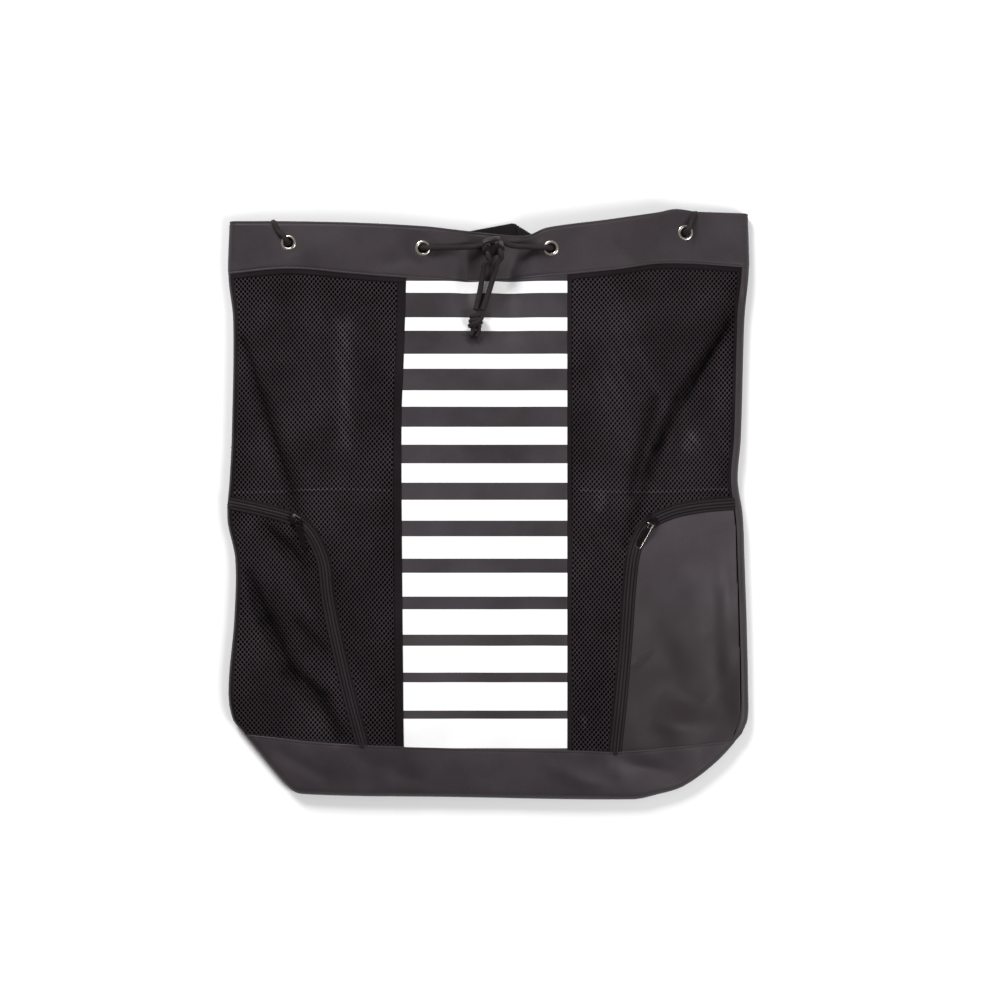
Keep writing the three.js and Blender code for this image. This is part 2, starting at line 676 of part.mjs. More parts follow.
// Cord lock: a flat body with two holes leaning back on the cord, and a sprung button in its top
const lockX = inWidth(0.01);
const lockY = inHeight(0.4315);
const lockRise = 8.4;
const lock = new THREE.Group();
lock.position.copy(above(lockX, lockY, lockRise));
lock.rotation.set(
  THREE.MathUtils.degToRad(lockLean),
  0,
  THREE.MathUtils.degToRad(lockTurn),
  "ZYX",
);
bag.add(lock);
lock.updateMatrixWorld(true);
const holeX = lockHoleSpacing / 2;
const lockHole = cordDiameter / 2 + 0.5;
const slotEnd = -lockHeight / 2 + 2;
const barGap = buttonTravel + seamGap;
{
  const corner = 4;
  const outline = roundedBar(-lockWidth / 2, lockWidth / 2, lockHeight / 2, corner);
  let body = solidOf(plate(outline, -lockDepth / 2, lockDepth / 2));
  for (const side of [-1, 1]) {
    const rimRing = disc(lockHole + 1, 0, lockDepth / 2 + 0.8).translate(side * holeX, 0, 0);
    const bore = disc(lockHole, -lockDepth, lockDepth).translate(side * holeX, 0, 0);
    body = body.add(solidOf(rimRing)).subtract(solidOf(bore));
  }
  const slot = new THREE.BoxGeometry(stemWidth + 2 * seamGap, lockHeight, lockDepth / 2 + 2 * seamGap)
    .translate(0, slotEnd + lockHeight / 2, 0);
  addPiece("cord_lock_body", geometryOf(body.subtract(solidOf(slot))), "plastic", lock);

  const top = lockHeight / 2 + barGap;
  const stemLow = slotEnd + barGap;
  const stem = new THREE.BoxGeometry(stemWidth, top - stemLow + 1, lockDepth / 2)
    .translate(0, (top + 1 + stemLow) / 2, 0);
  const arch = plate([
    [-buttonWidth / 2, top], [buttonWidth / 2, top], [buttonWidth / 2, top + 1.2],
    [buttonWidth / 4, top + 2.7], [-buttonWidth / 4, top + 2.7], [-buttonWidth / 2, top + 1.2],
  ], -lockDepth * 0.35, lockDepth * 0.35);
  addPiece("cord_lock_button", geometryOf(solidOf(stem).add(solidOf(arch))), "plastic", lock);
}

// Drawcord: from the cord lock through the eyelets and round the back, and back to the lock.
// Each point lies on the cloth of a face at a place, raised to a side of it. Points chosen by hand.
const cordRadius = cordDiameter / 2;
const outside = cordRadius + seamGap;
const inside = -(coatedWall + seamGap + cordRadius);
const overFlange = outside + 3 * seamGap + 1.5 * eyeletMetal;
const underFlange = inside - 2 * seamGap - eyeletMetal;
const onFront = (x, y, rise) => above(x, y, rise);
const onBack = (x, y, rise) => below(x, y, rise);

// One pass through an eyelet, entered from one side along a plan direction and left on the other
function eyeletPass(row, fromX, fromY, toX, toY, startsOutside) {
  const start = startsOutside ? overFlange : underFlange;
  const end = startsOutside ? underFlange : overFlange;
  const middle = -coatedWall / 2;
  const pose = eyeletPose(row);
  const at = (dx, dy, z) => new THREE.Vector3(dx, dy, z).applyMatrix4(pose);
  const flip = row.face === "front" ? 1 : -1;
  const entry = [
    at(fromX * 8, flip * fromY * 8, start),
    at(fromX * 3.6, flip * fromY * 3.6, start - Math.sign(start) * 0.2),
    at(fromX * 0.9, flip * fromY * 0.9, middle + (start - middle) * 0.55),
  ];
  const exit = [
    at(toX * 0.9, flip * toY * 0.9, middle + (end - middle) * 0.55),
    at(toX * 3.6, flip * toY * 3.6, end - Math.sign(end) * 0.2),
    at(toX * 8, flip * toY * 8, end),
  ];
  return [...entry, ...exit];
}

const inLock = (x, y, z) => new THREE.Vector3(x, y, z).applyMatrix4(lock.matrixWorld);
const mouthZ = lockDepth / 2 + 0.8;
const [outerLeft, innerLeft, innerRight, outerRight, backLeft, backRight] = eyeletRows;
const drawcordRoute = [
  inLock(-holeX, 0, mouthZ),
  inLock(-holeX, 0, -3),
  inLock(-holeX - 0.8, -0.2, -5.8),
  inLock(-holeX - 3.4, -0.6, -7.6),
  onFront(-12, 257, outside + 2),
  onFront(-32, 256.5, outside + 0.6),
  ...eyeletPass(innerLeft, 1, 0, -1, 0, true),
  onFront(-104, 258, inside - 1),
  onFront(-150, 261, inside - 1),
  ...eyeletPass(outerLeft, 1, 0, -0.56, 0.83, false),
  onFront(-209, 273, outside + 0.6),
  new THREE.Vector3(-213.5, 281, 23.5),
  new THREE.Vector3(-215.3, 283.5, 14.5),
  new THREE.Vector3(-214, 281, 5),
  onBack(-209, 276, outside + 0.4),
  ...eyeletPass(backLeft, -0.5, 0.86, 1, 0, true),
  onBack(-150, 261, inside - 1),
  onBack(-60, 260, inside),
  onBack(60, 262, inside),
  onBack(150, 265, inside - 1),
  ...eyeletPass(backRight, -1, 0, 0.5, 0.86, false),
  onBack(203.5, 285, outside + 0.4),
  new THREE.Vector3(207, 289.5, 5),
  new THREE.Vector3(208.3, 292, 14.5),
  new THREE.Vector3(206.5, 290, 23.5),
  onFront(203, 282, outside + 0.6),
  ...eyeletPass(outerRight, 0.56, 0.83, -1, -0.1, true),
  onFront(150, 266, inside - 1),
  onFront(104, 259, inside - 1),
  ...eyeletPass(innerRight, 1, 0, -1, 0, false),
  onFront(42, 257, outside),
  onFront(24, 258.5, outside + 0.6),
  inLock(holeX + 3.4, -0.6, -7.6),
  inLock(holeX + 0.8, -0.2, -5.8),
  inLock(holeX, 0, -3),
  inLock(holeX, 0, mouthZ),
];
addPiece("drawcord", rod(drawcordRoute, cordRadius, cordSides), "cord");

// The cord sinks into the mouth's edge where it crosses it, so the collar is cut clear of it there
const crossings = [drawcordRoute.slice(20, 26), drawcordRoute.slice(41, 47)];
for (const crossing of crossings) {
  collarCloth = collarCloth.subtract(solidOf(rod(crossing, cordRadius + seamGap, cordSides)));
}
addPiece("collar", geometryOf(collarCloth), "coated");

// Free ends of the drawcord: out of the lock, over the collar and down to one knot
const cordEndRoutes = {
  left: [
    inLock(-holeX, 0, mouthZ + seamGap),
    inLock(-holeX, -0.1, mouthZ + 2),
    inLock(-holeX, -1.8, mouthZ + 4.4),
    inLock(-holeX + 0.2, -5.4, mouthZ + 5.6),
    onFront(-3.2, 239, 9.5),
    onFront(-4.4, 233, 7.2),
    onFront(-5.6, 227, 5.4),
    onFront(-6.8, 220, 4.3),
    onFront(-8, 213, 4.2),
    onFront(-9.4, 206, 4.3),
    onFront(-10.8, 200, 4.3),
    onFront(-12.2, 194, 4.8),
    onFront(-13, 188, 5.6),
  ],
  right: [
    inLock(holeX, 0, mouthZ + seamGap),
    inLock(holeX, -0.1, mouthZ + 2),
    inLock(holeX, -1.8, mouthZ + 4.4),
    inLock(holeX - 0.4, -5.4, mouthZ + 5.6),
    onFront(9.2, 240, 9.8),
    onFront(7.6, 233.5, 7.4),
    onFront(5.6, 227, 5.5),
    onFront(3.4, 220, 4.3),
    onFront(1.2, 213, 4.2),
    onFront(-1.2, 206, 4.3),
    onFront(-3.4, 200, 4.3),
    onFront(-5.6, 194, 4.8),
    onFront(-8, 188, 5.6),
  ],
};
const knotPlace = { x: -12, y: 183, turn: 9 };
const tailRoutes = [
  [[-9, 177, 4.6], [-9.6, 171, 3.2], [-12.6, 166, 2.8]],
  [[-14, 177, 4.8], [-15.4, 172, 3.6], [-18, 168, 2.8]],
];
function knotBall(grow) {
  const ball = new THREE.SphereGeometry(0.5, 10, 8);
  ball.scale(knotWidth + 2 * grow, knotLength + 2 * grow, knotHeight + 2 * grow);
  ball.rotateZ(THREE.MathUtils.degToRad(-knotPlace.turn));
  const centre = above(knotPlace.x, knotPlace.y, knotHeight / 2 + seamGap);
  return solidOf(ball.translate(centre.x, centre.y, centre.z));
}
let knot = knotBall(0);
for (const route of tailRoutes) {
  knot = knot.add(solidOf(rod(route.map(([x, y, rise]) => onFront(x, y, rise)), cordRadius, cordSides)));
}
addPiece("cord_knot", geometryOf(knot), "cord");
for (const side of ["left", "right"]) {
  const end = solidOf(rod(cordEndRoutes[side], cordRadius, cordSides));
  addPiece(`cord_end_${side}`, geometryOf(end.subtract(knotBall(seamGap))), "cord");
}

// Shoulder straps, flat under the back: a pad, a loop of webbing at its end, a buckle of three bars
// and the webbing that is sewn into the base
function padOutline(side) {
  const stops = [
    { t: 0, width: 0.78 },
    { t: 0.08, width: 0.95 },
    { t: 0.2, width: 1 },
    { t: 0.4, width: 1 },
    { t: 0.6, width: 1 },
    { t: 0.8, width: 1 },
    { t: 0.92, width: 0.84 },
    { t: 1, width: 0.52 },
  ];
  const edge = (sign) => stops.map(({ t, width }) => {
    const x = padSpacing / 2 + (strapSlope * padLength * t * t) / 2;
    const slope = strapSlope * t;
    const reach = (sign * width * padWidth) / 2 / Math.hypot(1, slope);
    return [side * (x + reach), padTop - padLength * t + slope * reach];
  });
  return [...edge(1), ...edge(-1).reverse()];
}

function ribbon(points, thickness) {
  const route = points.map(([s, z]) => new THREE.Vector2(s, z));
  const offset = (sign) => route.map((point, i) => {
    const before = route[Math.max(0, i - 1)];
    const after = route[Math.min(route.length - 1, i + 1)];
    const run = after.clone().sub(before).normalize();
    return point.clone().add(new THREE.Vector2(-run.y, run.x).multiplyScalar((sign * thickness) / 2));
  });
  const shape = new THREE.Shape([...offset(1), ...offset(-1).reverse()]);
  const band = new THREE.ExtrudeGeometry(shape, { depth: webbingWidth, bevelEnabled: false });
  return band.translate(0, 0, -webbingWidth / 2).rotateX(Math.PI / 2).rotateZ(Math.PI / 2);
}

const buckleLow = webbingThickness + seamGap;
const bendRadius = buckleThickness / 2 + seamGap + webbingThickness / 2;
const bendCentre = buckleLow + buckleThickness / 2;
const wrapBar = (centre, way) => sweep(-90, 90, 6, (angle) => [
  centre + way * (bendRadius + buckleBar / 2 + seamGap) * Math.cos(THREE.MathUtils.degToRad(angle)),
  bendCentre + bendRadius * Math.sin(THREE.MathUtils.degToRad(angle)),
]);
for (const side of [-1, 1]) {
  const name = side < 0 ? "left" : "right";
  const bevel = padThickness / 4;
  const pad = new THREE.ExtrudeGeometry(
    new THREE.Shape(padOutline(side).map(([x, y]) => new THREE.Vector2(x, y))),
    { depth: padThickness - 2 * bevel, bevelThickness: bevel, bevelSize: bevel, bevelOffset: -bevel,
      bevelSegments: 1 },
  ).translate(0, 0, bevel);
  addPiece(`strap_pad_${name}`, pad, "padding");

  const strap = new THREE.Group();
  strap.position.set(side * padEndX, padBottom, 0);
  strap.rotation.z = THREE.MathUtils.degToRad(side * strapTurn);
  bag.add(strap);
  const barSpace = buckleBar + bendRadius + webbingThickness;
  const upperBar = -(bendRadius + buckleBar);
  const lowerBar = upperBar - 2 * barSpace;
  const lowLeg = webbingThickness / 2;
  const highLeg = bendCentre + bendRadius;
  const tab = ribbon([[-seamGap, lowLeg], ...wrapBar(upperBar, -1), [-seamGap, highLeg]], webbingThickness);
  addPiece(`strap_tab_${name}`, tab, "webbing", strap);

  const outerX = webbingWidth / 2 + seamGap + buckleBar;
  const frame = new THREE.Shape([[-outerX, lowerBar - buckleBar / 2], [outerX, lowerBar - buckleBar / 2],
    [outerX, upperBar + buckleBar / 2], [-outerX, upperBar + buckleBar / 2]]
    .map(([a, b]) => new THREE.Vector2(a, b)));
  for (const bar of [upperBar, upperBar - barSpace]) {
    const slotX = webbingWidth / 2 + seamGap;
    frame.holes.push(new THREE.Path([[-slotX, bar - buckleBar / 2], [slotX, bar - buckleBar / 2],
      [slotX, bar - barSpace + buckleBar / 2], [-slotX, bar - barSpace + buckleBar / 2]]
      .map(([a, b]) => new THREE.Vector2(a, b))));
  }
  const buckle = new THREE.ExtrudeGeometry(frame, { depth: buckleThickness, bevelEnabled: false });
  addPiece(`strap_buckle_${name}`, buckle.translate(0, 0, buckleLow), "plastic", strap);

  const strapEnd = (webbingEndY - padBottom) / Math.cos(THREE.MathUtils.degToRad(strapTurn));
  const sewn = lowerBar - webbingWidth;
  const webbing = ribbon([
    [strapEnd, lowLeg],
    ...wrapBar(lowerBar, 1),
    [sewn + buckleBar * 2, highLeg],
    [sewn + buckleBar, webbingThickness * 1.5 + seamGap + 0.4],
    [sewn - buckleBar, webbingThickness * 1.5 + seamGap],
  ], webbingThickness);
  addPiece(`strap_webbing_${name}`, webbing, "webbing", strap);
}

// Grab loop: webbing folded over itself behind the collar, its crease showing past the mouth
const loopTop = cordClear - 4 * seamGap;
const creaseStart = new THREE.Vector2(inWidth(0.045), inHeight(0.48));
const heading = (degrees) => new THREE.Vector2(1, 0)
  .rotateAround(new THREE.Vector2(), THREE.MathUtils.degToRad(degrees));
const creaseWay = heading(loopCrease);
const creaseLength = webbingWidth / Math.sin(THREE.MathUtils.degToRad(loopRise - loopCrease));
const creaseEnd = creaseStart.clone().addScaledVector(creaseWay, creaseLength);
const firstWay = heading(loopRise + 180);
const secondWay = heading(2 * loopCrease - loopRise);
const legLength = 3.4 * webbingWidth;
function leg(way, length, low) {
  const back = creaseEnd.clone().sub(creaseStart).dot(way);
  const corners = [creaseStart, creaseEnd, creaseEnd.clone().addScaledVector(way, length - back),
    creaseStart.clone().addScaledVector(way, length)];
  return solidOf(plate(corners.map((corner) => corner.toArray()), low, low + webbingThickness));
}
const turnIn = heading(loopCrease - 90).multiplyScalar(webbingThickness);
const creaseFold = plate([creaseStart, creaseEnd, creaseEnd.clone().add(turnIn),
  creaseStart.clone().add(turnIn)].map((corner) => corner.toArray()),
loopTop - 2 * webbingThickness - seamGap, loopTop);
const grabLoop = leg(firstWay, legLength, loopTop - 2 * webbingThickness - seamGap)
  .add(leg(secondWay, legLength * 0.62, loopTop - webbingThickness))
  .add(solidOf(creaseFold));
addPiece("grab_loop", geometryOf(grabLoop), "webbing");

export default bag;
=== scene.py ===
import math
import bmesh
import bpy
import numpy as np
from mathutils import Matrix, Vector


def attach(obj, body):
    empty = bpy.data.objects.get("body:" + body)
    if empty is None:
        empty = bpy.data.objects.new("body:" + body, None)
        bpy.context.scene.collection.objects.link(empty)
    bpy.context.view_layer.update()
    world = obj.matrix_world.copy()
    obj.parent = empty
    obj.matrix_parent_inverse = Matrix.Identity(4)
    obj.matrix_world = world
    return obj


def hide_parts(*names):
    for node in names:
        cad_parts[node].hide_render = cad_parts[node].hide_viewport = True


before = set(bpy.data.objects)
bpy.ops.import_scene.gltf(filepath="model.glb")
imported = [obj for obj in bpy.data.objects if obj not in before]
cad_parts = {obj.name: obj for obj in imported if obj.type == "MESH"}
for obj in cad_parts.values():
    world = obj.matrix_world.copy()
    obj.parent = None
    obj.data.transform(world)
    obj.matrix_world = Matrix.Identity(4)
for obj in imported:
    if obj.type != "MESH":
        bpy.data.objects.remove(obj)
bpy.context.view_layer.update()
mm = 0.001  # shapes are worked out in millimetres and put into meshes in metres

# camera: straight above the bag, far away, one millimetre to a pixel of the 1000 pixel view

cameraSet = {"lens": 85, "sensor": 36, "viewWidth": 1000, "aimX": 12, "aimY": 5, "aimHeight": 22}


def addCamera(s):
    distance = s["viewWidth"] * s["lens"] / s["sensor"]
    data = bpy.data.cameras.new("photoCamera")
    data.lens, data.sensor_width = s["lens"], s["sensor"]
    data.clip_start, data.clip_end = 0.05, 50
    camera = bpy.data.objects.new("photoCamera", data)
    camera.location = (s["aimX"] * mm, s["aimY"] * mm, (s["aimHeight"] + distance) * mm)
    bpy.context.scene.collection.objects.link(camera)
    bpy.context.scene.camera = camera


addCamera(cameraSet)

# outline of the bag: rows of place and value, as shares of its width and height

bag = {
    "width": 524, "height": 591, "edge": 7, "loft": 17, "loftReach": 150,
    "wall": 1.6, "gap": 0.3,
}
outline = {
    "left": [(-0.389, -0.468), (-0.364, -0.49), (-0.313, -0.498), (-0.195, -0.487), (-0.093, -0.485),
             (-0.025, -0.5), (0.042, -0.496), (0.11, -0.492), (0.313, -0.489), (0.388, -0.498),
             (0.482, -0.495)],
    "right": [(-0.389, 0.487), (-0.364, 0.498), (-0.313, 0.499), (-0.195, 0.496), (-0.093, 0.492),
              (-0.025, 0.489), (0.042, 0.479), (0.11, 0.485), (0.313, 0.492), (0.388, 0.5),
              (0.482, 0.498)],
    "top": [(-0.495, 0.482), (-0.273, 0.477), (-0.12, 0.47), (-0.057, 0.464), (0.07, 0.455), (0.113, 0.468),
            (0.231, 0.482), (0.323, 0.494), (0.357, 0.5), (0.401, 0.496), (0.498, 0.495)],
    "bottom": [(-0.468, -0.389), (-0.382, -0.48), (-0.355, -0.491), (-0.067, -0.496), (0.277, -0.5),
               (0.323, -0.492), (0.376, -0.477), (0.437, -0.437), (0.487, -0.389)],
    "collarSeam": [(-0.495, 0.393), (-0.379, 0.4), (-0.248, 0.39), (-0.107, 0.381), (-0.015, 0.378),
                   (0.08, 0.384), (0.232, 0.397), (0.338, 0.409), (0.498, 0.404)],
    "baseSeam": [(-0.466, -0.391), (-0.257, -0.406), (0.176, -0.416), (0.237, -0.418), (0.313, -0.414),
                 (0.473, -0.401)],
    "panelLeft": [(-0.42, -0.16), (0.0, -0.164), (0.15, -0.164), (0.245, -0.16), (0.39, -0.155)],
    "panelRight": [(-0.42, 0.151), (0.0, 0.151), (0.15, 0.151), (0.245, 0.151), (0.39, 0.151)],
}
zipLines = {  # middle line of each zip, from the side seam round the pocket's corner to the base
    "left": [(-0.56, 0.012), (-0.49, 0.002), (-0.421, -0.011), (-0.375, -0.023), (-0.355, -0.034),
             (-0.337, -0.051), (-0.314, -0.096), (-0.305, -0.161), (-0.27, -0.303), (-0.24, -0.406),
             (-0.23, -0.45)],
    "right": [(0.56, 0.009), (0.483, 0.003), (0.405, -0.003), (0.351, -0.013), (0.311, -0.03),
              (0.289, -0.054), (0.277, -0.085), (0.271, -0.127), (0.26, -0.262), (0.243, -0.416),
              (0.239, -0.46)],
}
folds = [  # main valleys: start, end, width and depth as shares of the loft
    (-0.475, 0.284, -0.358, -0.025, 0.55, 0.28), (0.482, 0.35, 0.325, 0.097, 0.55, 0.3),
    (0.325, 0.097, 0.262, -0.06, 0.5, 0.26), (0.31, 0.178, 0.272, 0.02, 0.45, 0.18),
    (-0.425, -0.04, -0.35, -0.105, 0.55, 0.26), (-0.46, -0.12, -0.375, -0.285, 0.65, 0.34),
    (-0.375, -0.285, -0.29, -0.39, 0.6, 0.3), (-0.035, 0.45, -0.032, 0.33, 0.8, 0.3),
    (0.06, 0.45, 0.035, 0.3, 1.1, 0.36), (0.32, -0.25, 0.42, -0.33, 1.6, 0.12),
    (0.25, -0.45, 0.4, -0.44, 1.2, 0.16),
]


def track(rows, place):
    # cubic through the rows: each slope is taken from the rows on both sides, and it is level past the ends
    rows = np.asarray(rows, float)
    at, value = rows[:, 0], rows[:, 1]
    before = np.maximum(np.arange(len(at)) - 1, 0)
    after = np.minimum(np.arange(len(at)) + 1, len(at) - 1)
    slope = (value[after] - value[before]) / (at[after] - at[before])
    place = np.clip(place, at[0], at[-1])
    i = np.clip(np.searchsorted(at, place, side="right") - 1, 0, len(at) - 2)
    span = at[i + 1] - at[i]
    t = (place - at[i]) / span
    near = (1 + 2 * t) * (1 - t) ** 2
    leave, enter = t * (1 - t) ** 2 * span, t * t * (t - 1) * span
    return near * value[i] + leave * slope[i] + (1 - near) * value[i + 1] + enter * slope[i + 1]


def acrossAt(name, y):
    return bag["width"] * track(outline[name], np.asarray(y, float) / bag["height"])


def alongAt(name, x):
    return bag["height"] * track(outline[name], np.asarray(x, float) / bag["width"])


def ease(value):
    value = np.clip(value, 0, 1)
    return value ** 2 * (3 - 2 * value)


def bell(away, width):
    return np.exp(-(away / width) ** 2)


def rim(x, y):
    # distances inside the side seams and inside the bottom edge, and the smaller of them
    e = bag["edge"]
    slope = (alongAt("bottom", x + e) - alongAt("bottom", x - e)) / (2 * e)
    side = np.minimum(np.maximum(0, x - acrossAt("left", y)), np.maximum(0, acrossAt("right", y) - x))
    bottom = np.maximum(0, (y - alongAt("bottom", x)) / np.hypot(1, slope))
    return side, bottom, np.minimum(side, bottom)


def fromSegment(x, y, ax, ay, bx, by):
    # share of the way along the segment from a to b, and the distance from it
    dx, dy = bx - ax, by - ay
    along = np.clip(((x - ax) * dx + (y - ay) * dy) / (dx * dx + dy * dy), 0, 1)
    return along, np.hypot(x - ax - along * dx, y - ay - along * dy)


def foldDepth(x, y, rows):
    # a bell across each valley, deepest half way along it
    depth = 0
    w, h, loft = bag["width"], bag["height"], bag["loft"]
    for x0, y0, x1, y1, width, deep in rows:
        along, away = fromSegment(x, y, x0 * w, y0 * h, x1 * w, y1 * h)
        depth = depth + deep * loft * (0.45 + 0.55 * np.sin(np.pi * along)) * bell(away, width * loft)
    return depth


def frontHeight(x, y):
    # quarter round at the rim, then a slow rise to the loft, less the folds
    side, bottom, distance = rim(x, y)
    roundOver = np.sqrt(1 - (1 - np.clip(distance / bag["edge"], 0, 1)) ** 2)
    dome = [1 - (1 - np.clip(d / bag["loftReach"], 0, 1)) ** 2 for d in (side, bottom * 1.6)]
    swell = bag["loft"] * dome[0] * dome[1]
    fromEdge = np.clip(distance / (3 * bag["edge"]), 0, 1)
    return bag["edge"] * (1 + roundOver) + swell - foldDepth(x, y, folds) * fromEdge


straps = {
    "padLength": 330, "padWidth": 60, "padThickness": 6.6, "spacing": 100, "turn": 15, "webbing": 25,
    "webbingThickness": 1.6, "bar": 4, "buckleThickness": 2.4, "topShare": 0.36, "webbingEnd": -0.403,
}
cordSet = {"diameter": 5, "eyeletMetal": 0.7, "flange": 7.8, "hole": 4.6}


def strapPlaces(s):
    slope = math.tan(math.radians(s["turn"]))
    top = s["topShare"] * bag["height"]
    endX = s["spacing"] / 2 + slope * s["padLength"] / 2
    endY = s["webbingEnd"] * bag["height"]
    return {"slope": slope, "top": top, "bottom": top - s["padLength"], "endX": endX, "webEndY": endY,
            "webEndX": endX + slope * (top - s["padLength"] - endY)}


strapAt = strapPlaces(straps)
cordClear = cordSet["diameter"] + 6 * bag["gap"] + 1.5 * cordSet["eyeletMetal"]


def backHeight(x, y):
    # flat on the floor, raised over the straps and the cord that lie under it
    side, _, distance = rim(x, y)
    e, fall = bag["edge"], 5 * bag["edge"]

    def raised(halfWidth, lowest):
        return ease((halfWidth + fall - np.abs(x)) / fall) * ease((y - lowest + fall) / fall)

    buckle = 3 * straps["bar"] + 4 * straps["webbingThickness"]
    padRoom, webRoom = straps["padThickness"] + bag["gap"], straps["webbingThickness"] + 3 * bag["gap"]
    pads = padRoom * raised(strapAt["endX"] + straps["padWidth"], strapAt["bottom"] - 3 * buckle)
    webReach = strapAt["webEndX"] + 2 * straps["webbing"]
    webs = webRoom * raised(webReach, strapAt["webEndY"] - straps["webbing"])
    mouth = cordClear * ease((y - alongAt("collarSeam", x) + fall) / fall)
    lift = np.maximum(np.maximum(pads, webs), mouth) * ease((side - e) / (fall / 2))
    roundOver = np.sqrt(1 - (1 - np.clip(distance / e, 0, 1)) ** 2)
    return e - (e - lift) * roundOver


def above(x, y, rise):
    return np.array([x, y, float(frontHeight(x, y)) + rise])


def below(x, y, drop):
    return np.array([x, y, float(backHeight(x, y)) - drop])


def curveThrough(points, spacing):
    # centripetal Catmull-Rom curve through the points, cut to even steps of about the spacing
    p = np.asarray(points, float)
    p = np.vstack([2 * p[0] - p[1], p, 2 * p[-1] - p[-2]])
    pieces = []
    for a, b, c, d in zip(p[:-3], p[1:-2], p[2:-1], p[3:]):
        t0, t1, t2 = (max(np.linalg.norm(q - r), 1e-4) ** 0.5 for q, r in ((b, a), (c, b), (d, c)))
        m1 = ((b - a) / t0 - (c - a) / (t0 + t1) + (c - b) / t1) * t1
        m2 = ((c - b) / t1 - (d - b) / (t1 + t2) + (d - c) / t2) * t1
        t = np.linspace(0, 1, 24, endpoint=False)[:, None]
        pieces.append((2 * t ** 3 - 3 * t ** 2 + 1) * b + (t ** 3 - 2 * t ** 2 + t) * m1
                      + (3 * t ** 2 - 2 * t ** 3) * c + (t ** 3 - t ** 2) * m2)
    line = np.vstack([*pieces, p[-2][None]])
    return evenly(line, spacing)


def runOf(line):
    # length from the line's start to each of its points
    return np.concatenate([[0], np.cumsum(np.linalg.norm(np.diff(line, axis=0), axis=1))])


def wayOf(line):
    # unit direction at each point of an open line
    way = np.gradient(line, axis=0)
    return way / np.linalg.norm(way, axis=1, keepdims=True)


def evenly(line, spacing):
    # the same line in equal steps of about the spacing
    lengths = runOf(line)
    count = max(2, int(round(lengths[-1] / spacing)) + 1)
    at = np.linspace(0, lengths[-1], count)
    return np.stack([np.interp(at, lengths, line[:, k]) for k in range(line.shape[1])], 1)


# putting worked-out surfaces into meshes


def camel(node):
    # a node's words run together as a piece's name
    first, *others = node.split("_")
    return first + "".join(word.capitalize() for word in others)


def addPiece(name, points, faces, slot, replaces=(), body="bag", uv=None, smooth=True, material=None):
    # from millimetres; faces are an array, or a list where they differ in their count of corners
    mesh = bpy.data.meshes.new(name)
    corners = faces if isinstance(faces, list) else faces.tolist()
    mesh.from_pydata((np.asarray(points) * mm).tolist(), [], corners)
    mesh.update()
    if smooth:
        mesh.polygons.foreach_set("use_smooth", np.ones(len(mesh.polygons), bool))
    if uv is not None:
        layer = mesh.uv_layers.new(name="clothMap")
        layer.data.foreach_set("uv", np.asarray(uv, np.float32).ravel())
    piece = bpy.data.objects.new(name, mesh)
    bpy.context.scene.collection.objects.link(piece)
    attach(piece, body)
    if replaces:
        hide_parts(*replaces)
    if material is not None:
        mesh.materials.append(material)
    return piece


def gridNormals(points, around):
    # across the steps along both directions of the grid
    if around:
        du = np.roll(points, -1, 1) - np.roll(points, 1, 1)
    else:
        du = np.gradient(points, axis=1)
    dv = np.gradient(points, axis=0)
    normal = np.cross(du, dv)
    return normal / np.maximum(np.linalg.norm(normal, axis=2, keepdims=True), 1e-9)


def wallOf(points, thickness, keep=None, around=False, u=None, v=None):
    # closed wall of cloth: the grid, a copy moved inwards along its normals, and strips round the bare edges
    rows, cols = points.shape[:2]
    inner = points - gridNormals(points, around) * np.asarray(thickness)[..., None]
    cells = cols if around else cols - 1
    keep = np.ones((rows - 1, cells), bool) if keep is None else keep
    j, i = np.nonzero(keep)
    u = np.arange(cells + 1, dtype=float) if u is None else u
    v = np.arange(rows, dtype=float) if v is None else v

    def corner(dj, di):
        return (j + dj) * cols + (i + di) % cols

    a, b, c, d = corner(0, 0), corner(0, 1), corner(1, 1), corner(1, 0)
    low = rows * cols
    faces = [np.stack([a, b, c, d], 1), np.stack([a, d, c, b], 1) + low]
    pa, pb, pc, pd = ((u[i + di], v[j + dj]) for dj, di in ((0, 0), (0, 1), (1, 1), (1, 0)))
    marks = [np.stack([np.stack(p, 1) for p in ring], 1) for ring in ((pa, pb, pc, pd), (pa, pd, pc, pb))]
    padded = np.pad(keep, 1)
    if around:
        padded[:, 0], padded[:, -1] = padded[:, -2], padded[:, 1]
    nearby = [(padded[:-2, 1:-1], a, b, pa, pb), (padded[1:-1, 2:], b, c, pb, pc),
              (padded[2:, 1:-1], c, d, pc, pd), (padded[1:-1, :-2], d, a, pd, pa)]
    for neighbour, start, end, ps, pe in nearby:
        bare = ~neighbour[j, i]
        s, e = start[bare], end[bare]
        faces.append(np.stack([e, s, s + low, e + low], 1))
        corners = [np.stack([q[0][bare], q[1][bare]], 1) for q in (pe, ps, ps, pe)]
        marks.append(np.stack(corners, 1))
    points = np.vstack([points.reshape(-1, 3), inner.reshape(-1, 3)])
    return compact(points, np.vstack(faces), np.vstack(marks).reshape(-1, 2))


def compact(points, faces, marks):
    # only the points that a face uses
    used, back = np.unique(faces, return_inverse=True)
    return points[used], back.reshape(faces.shape), marks


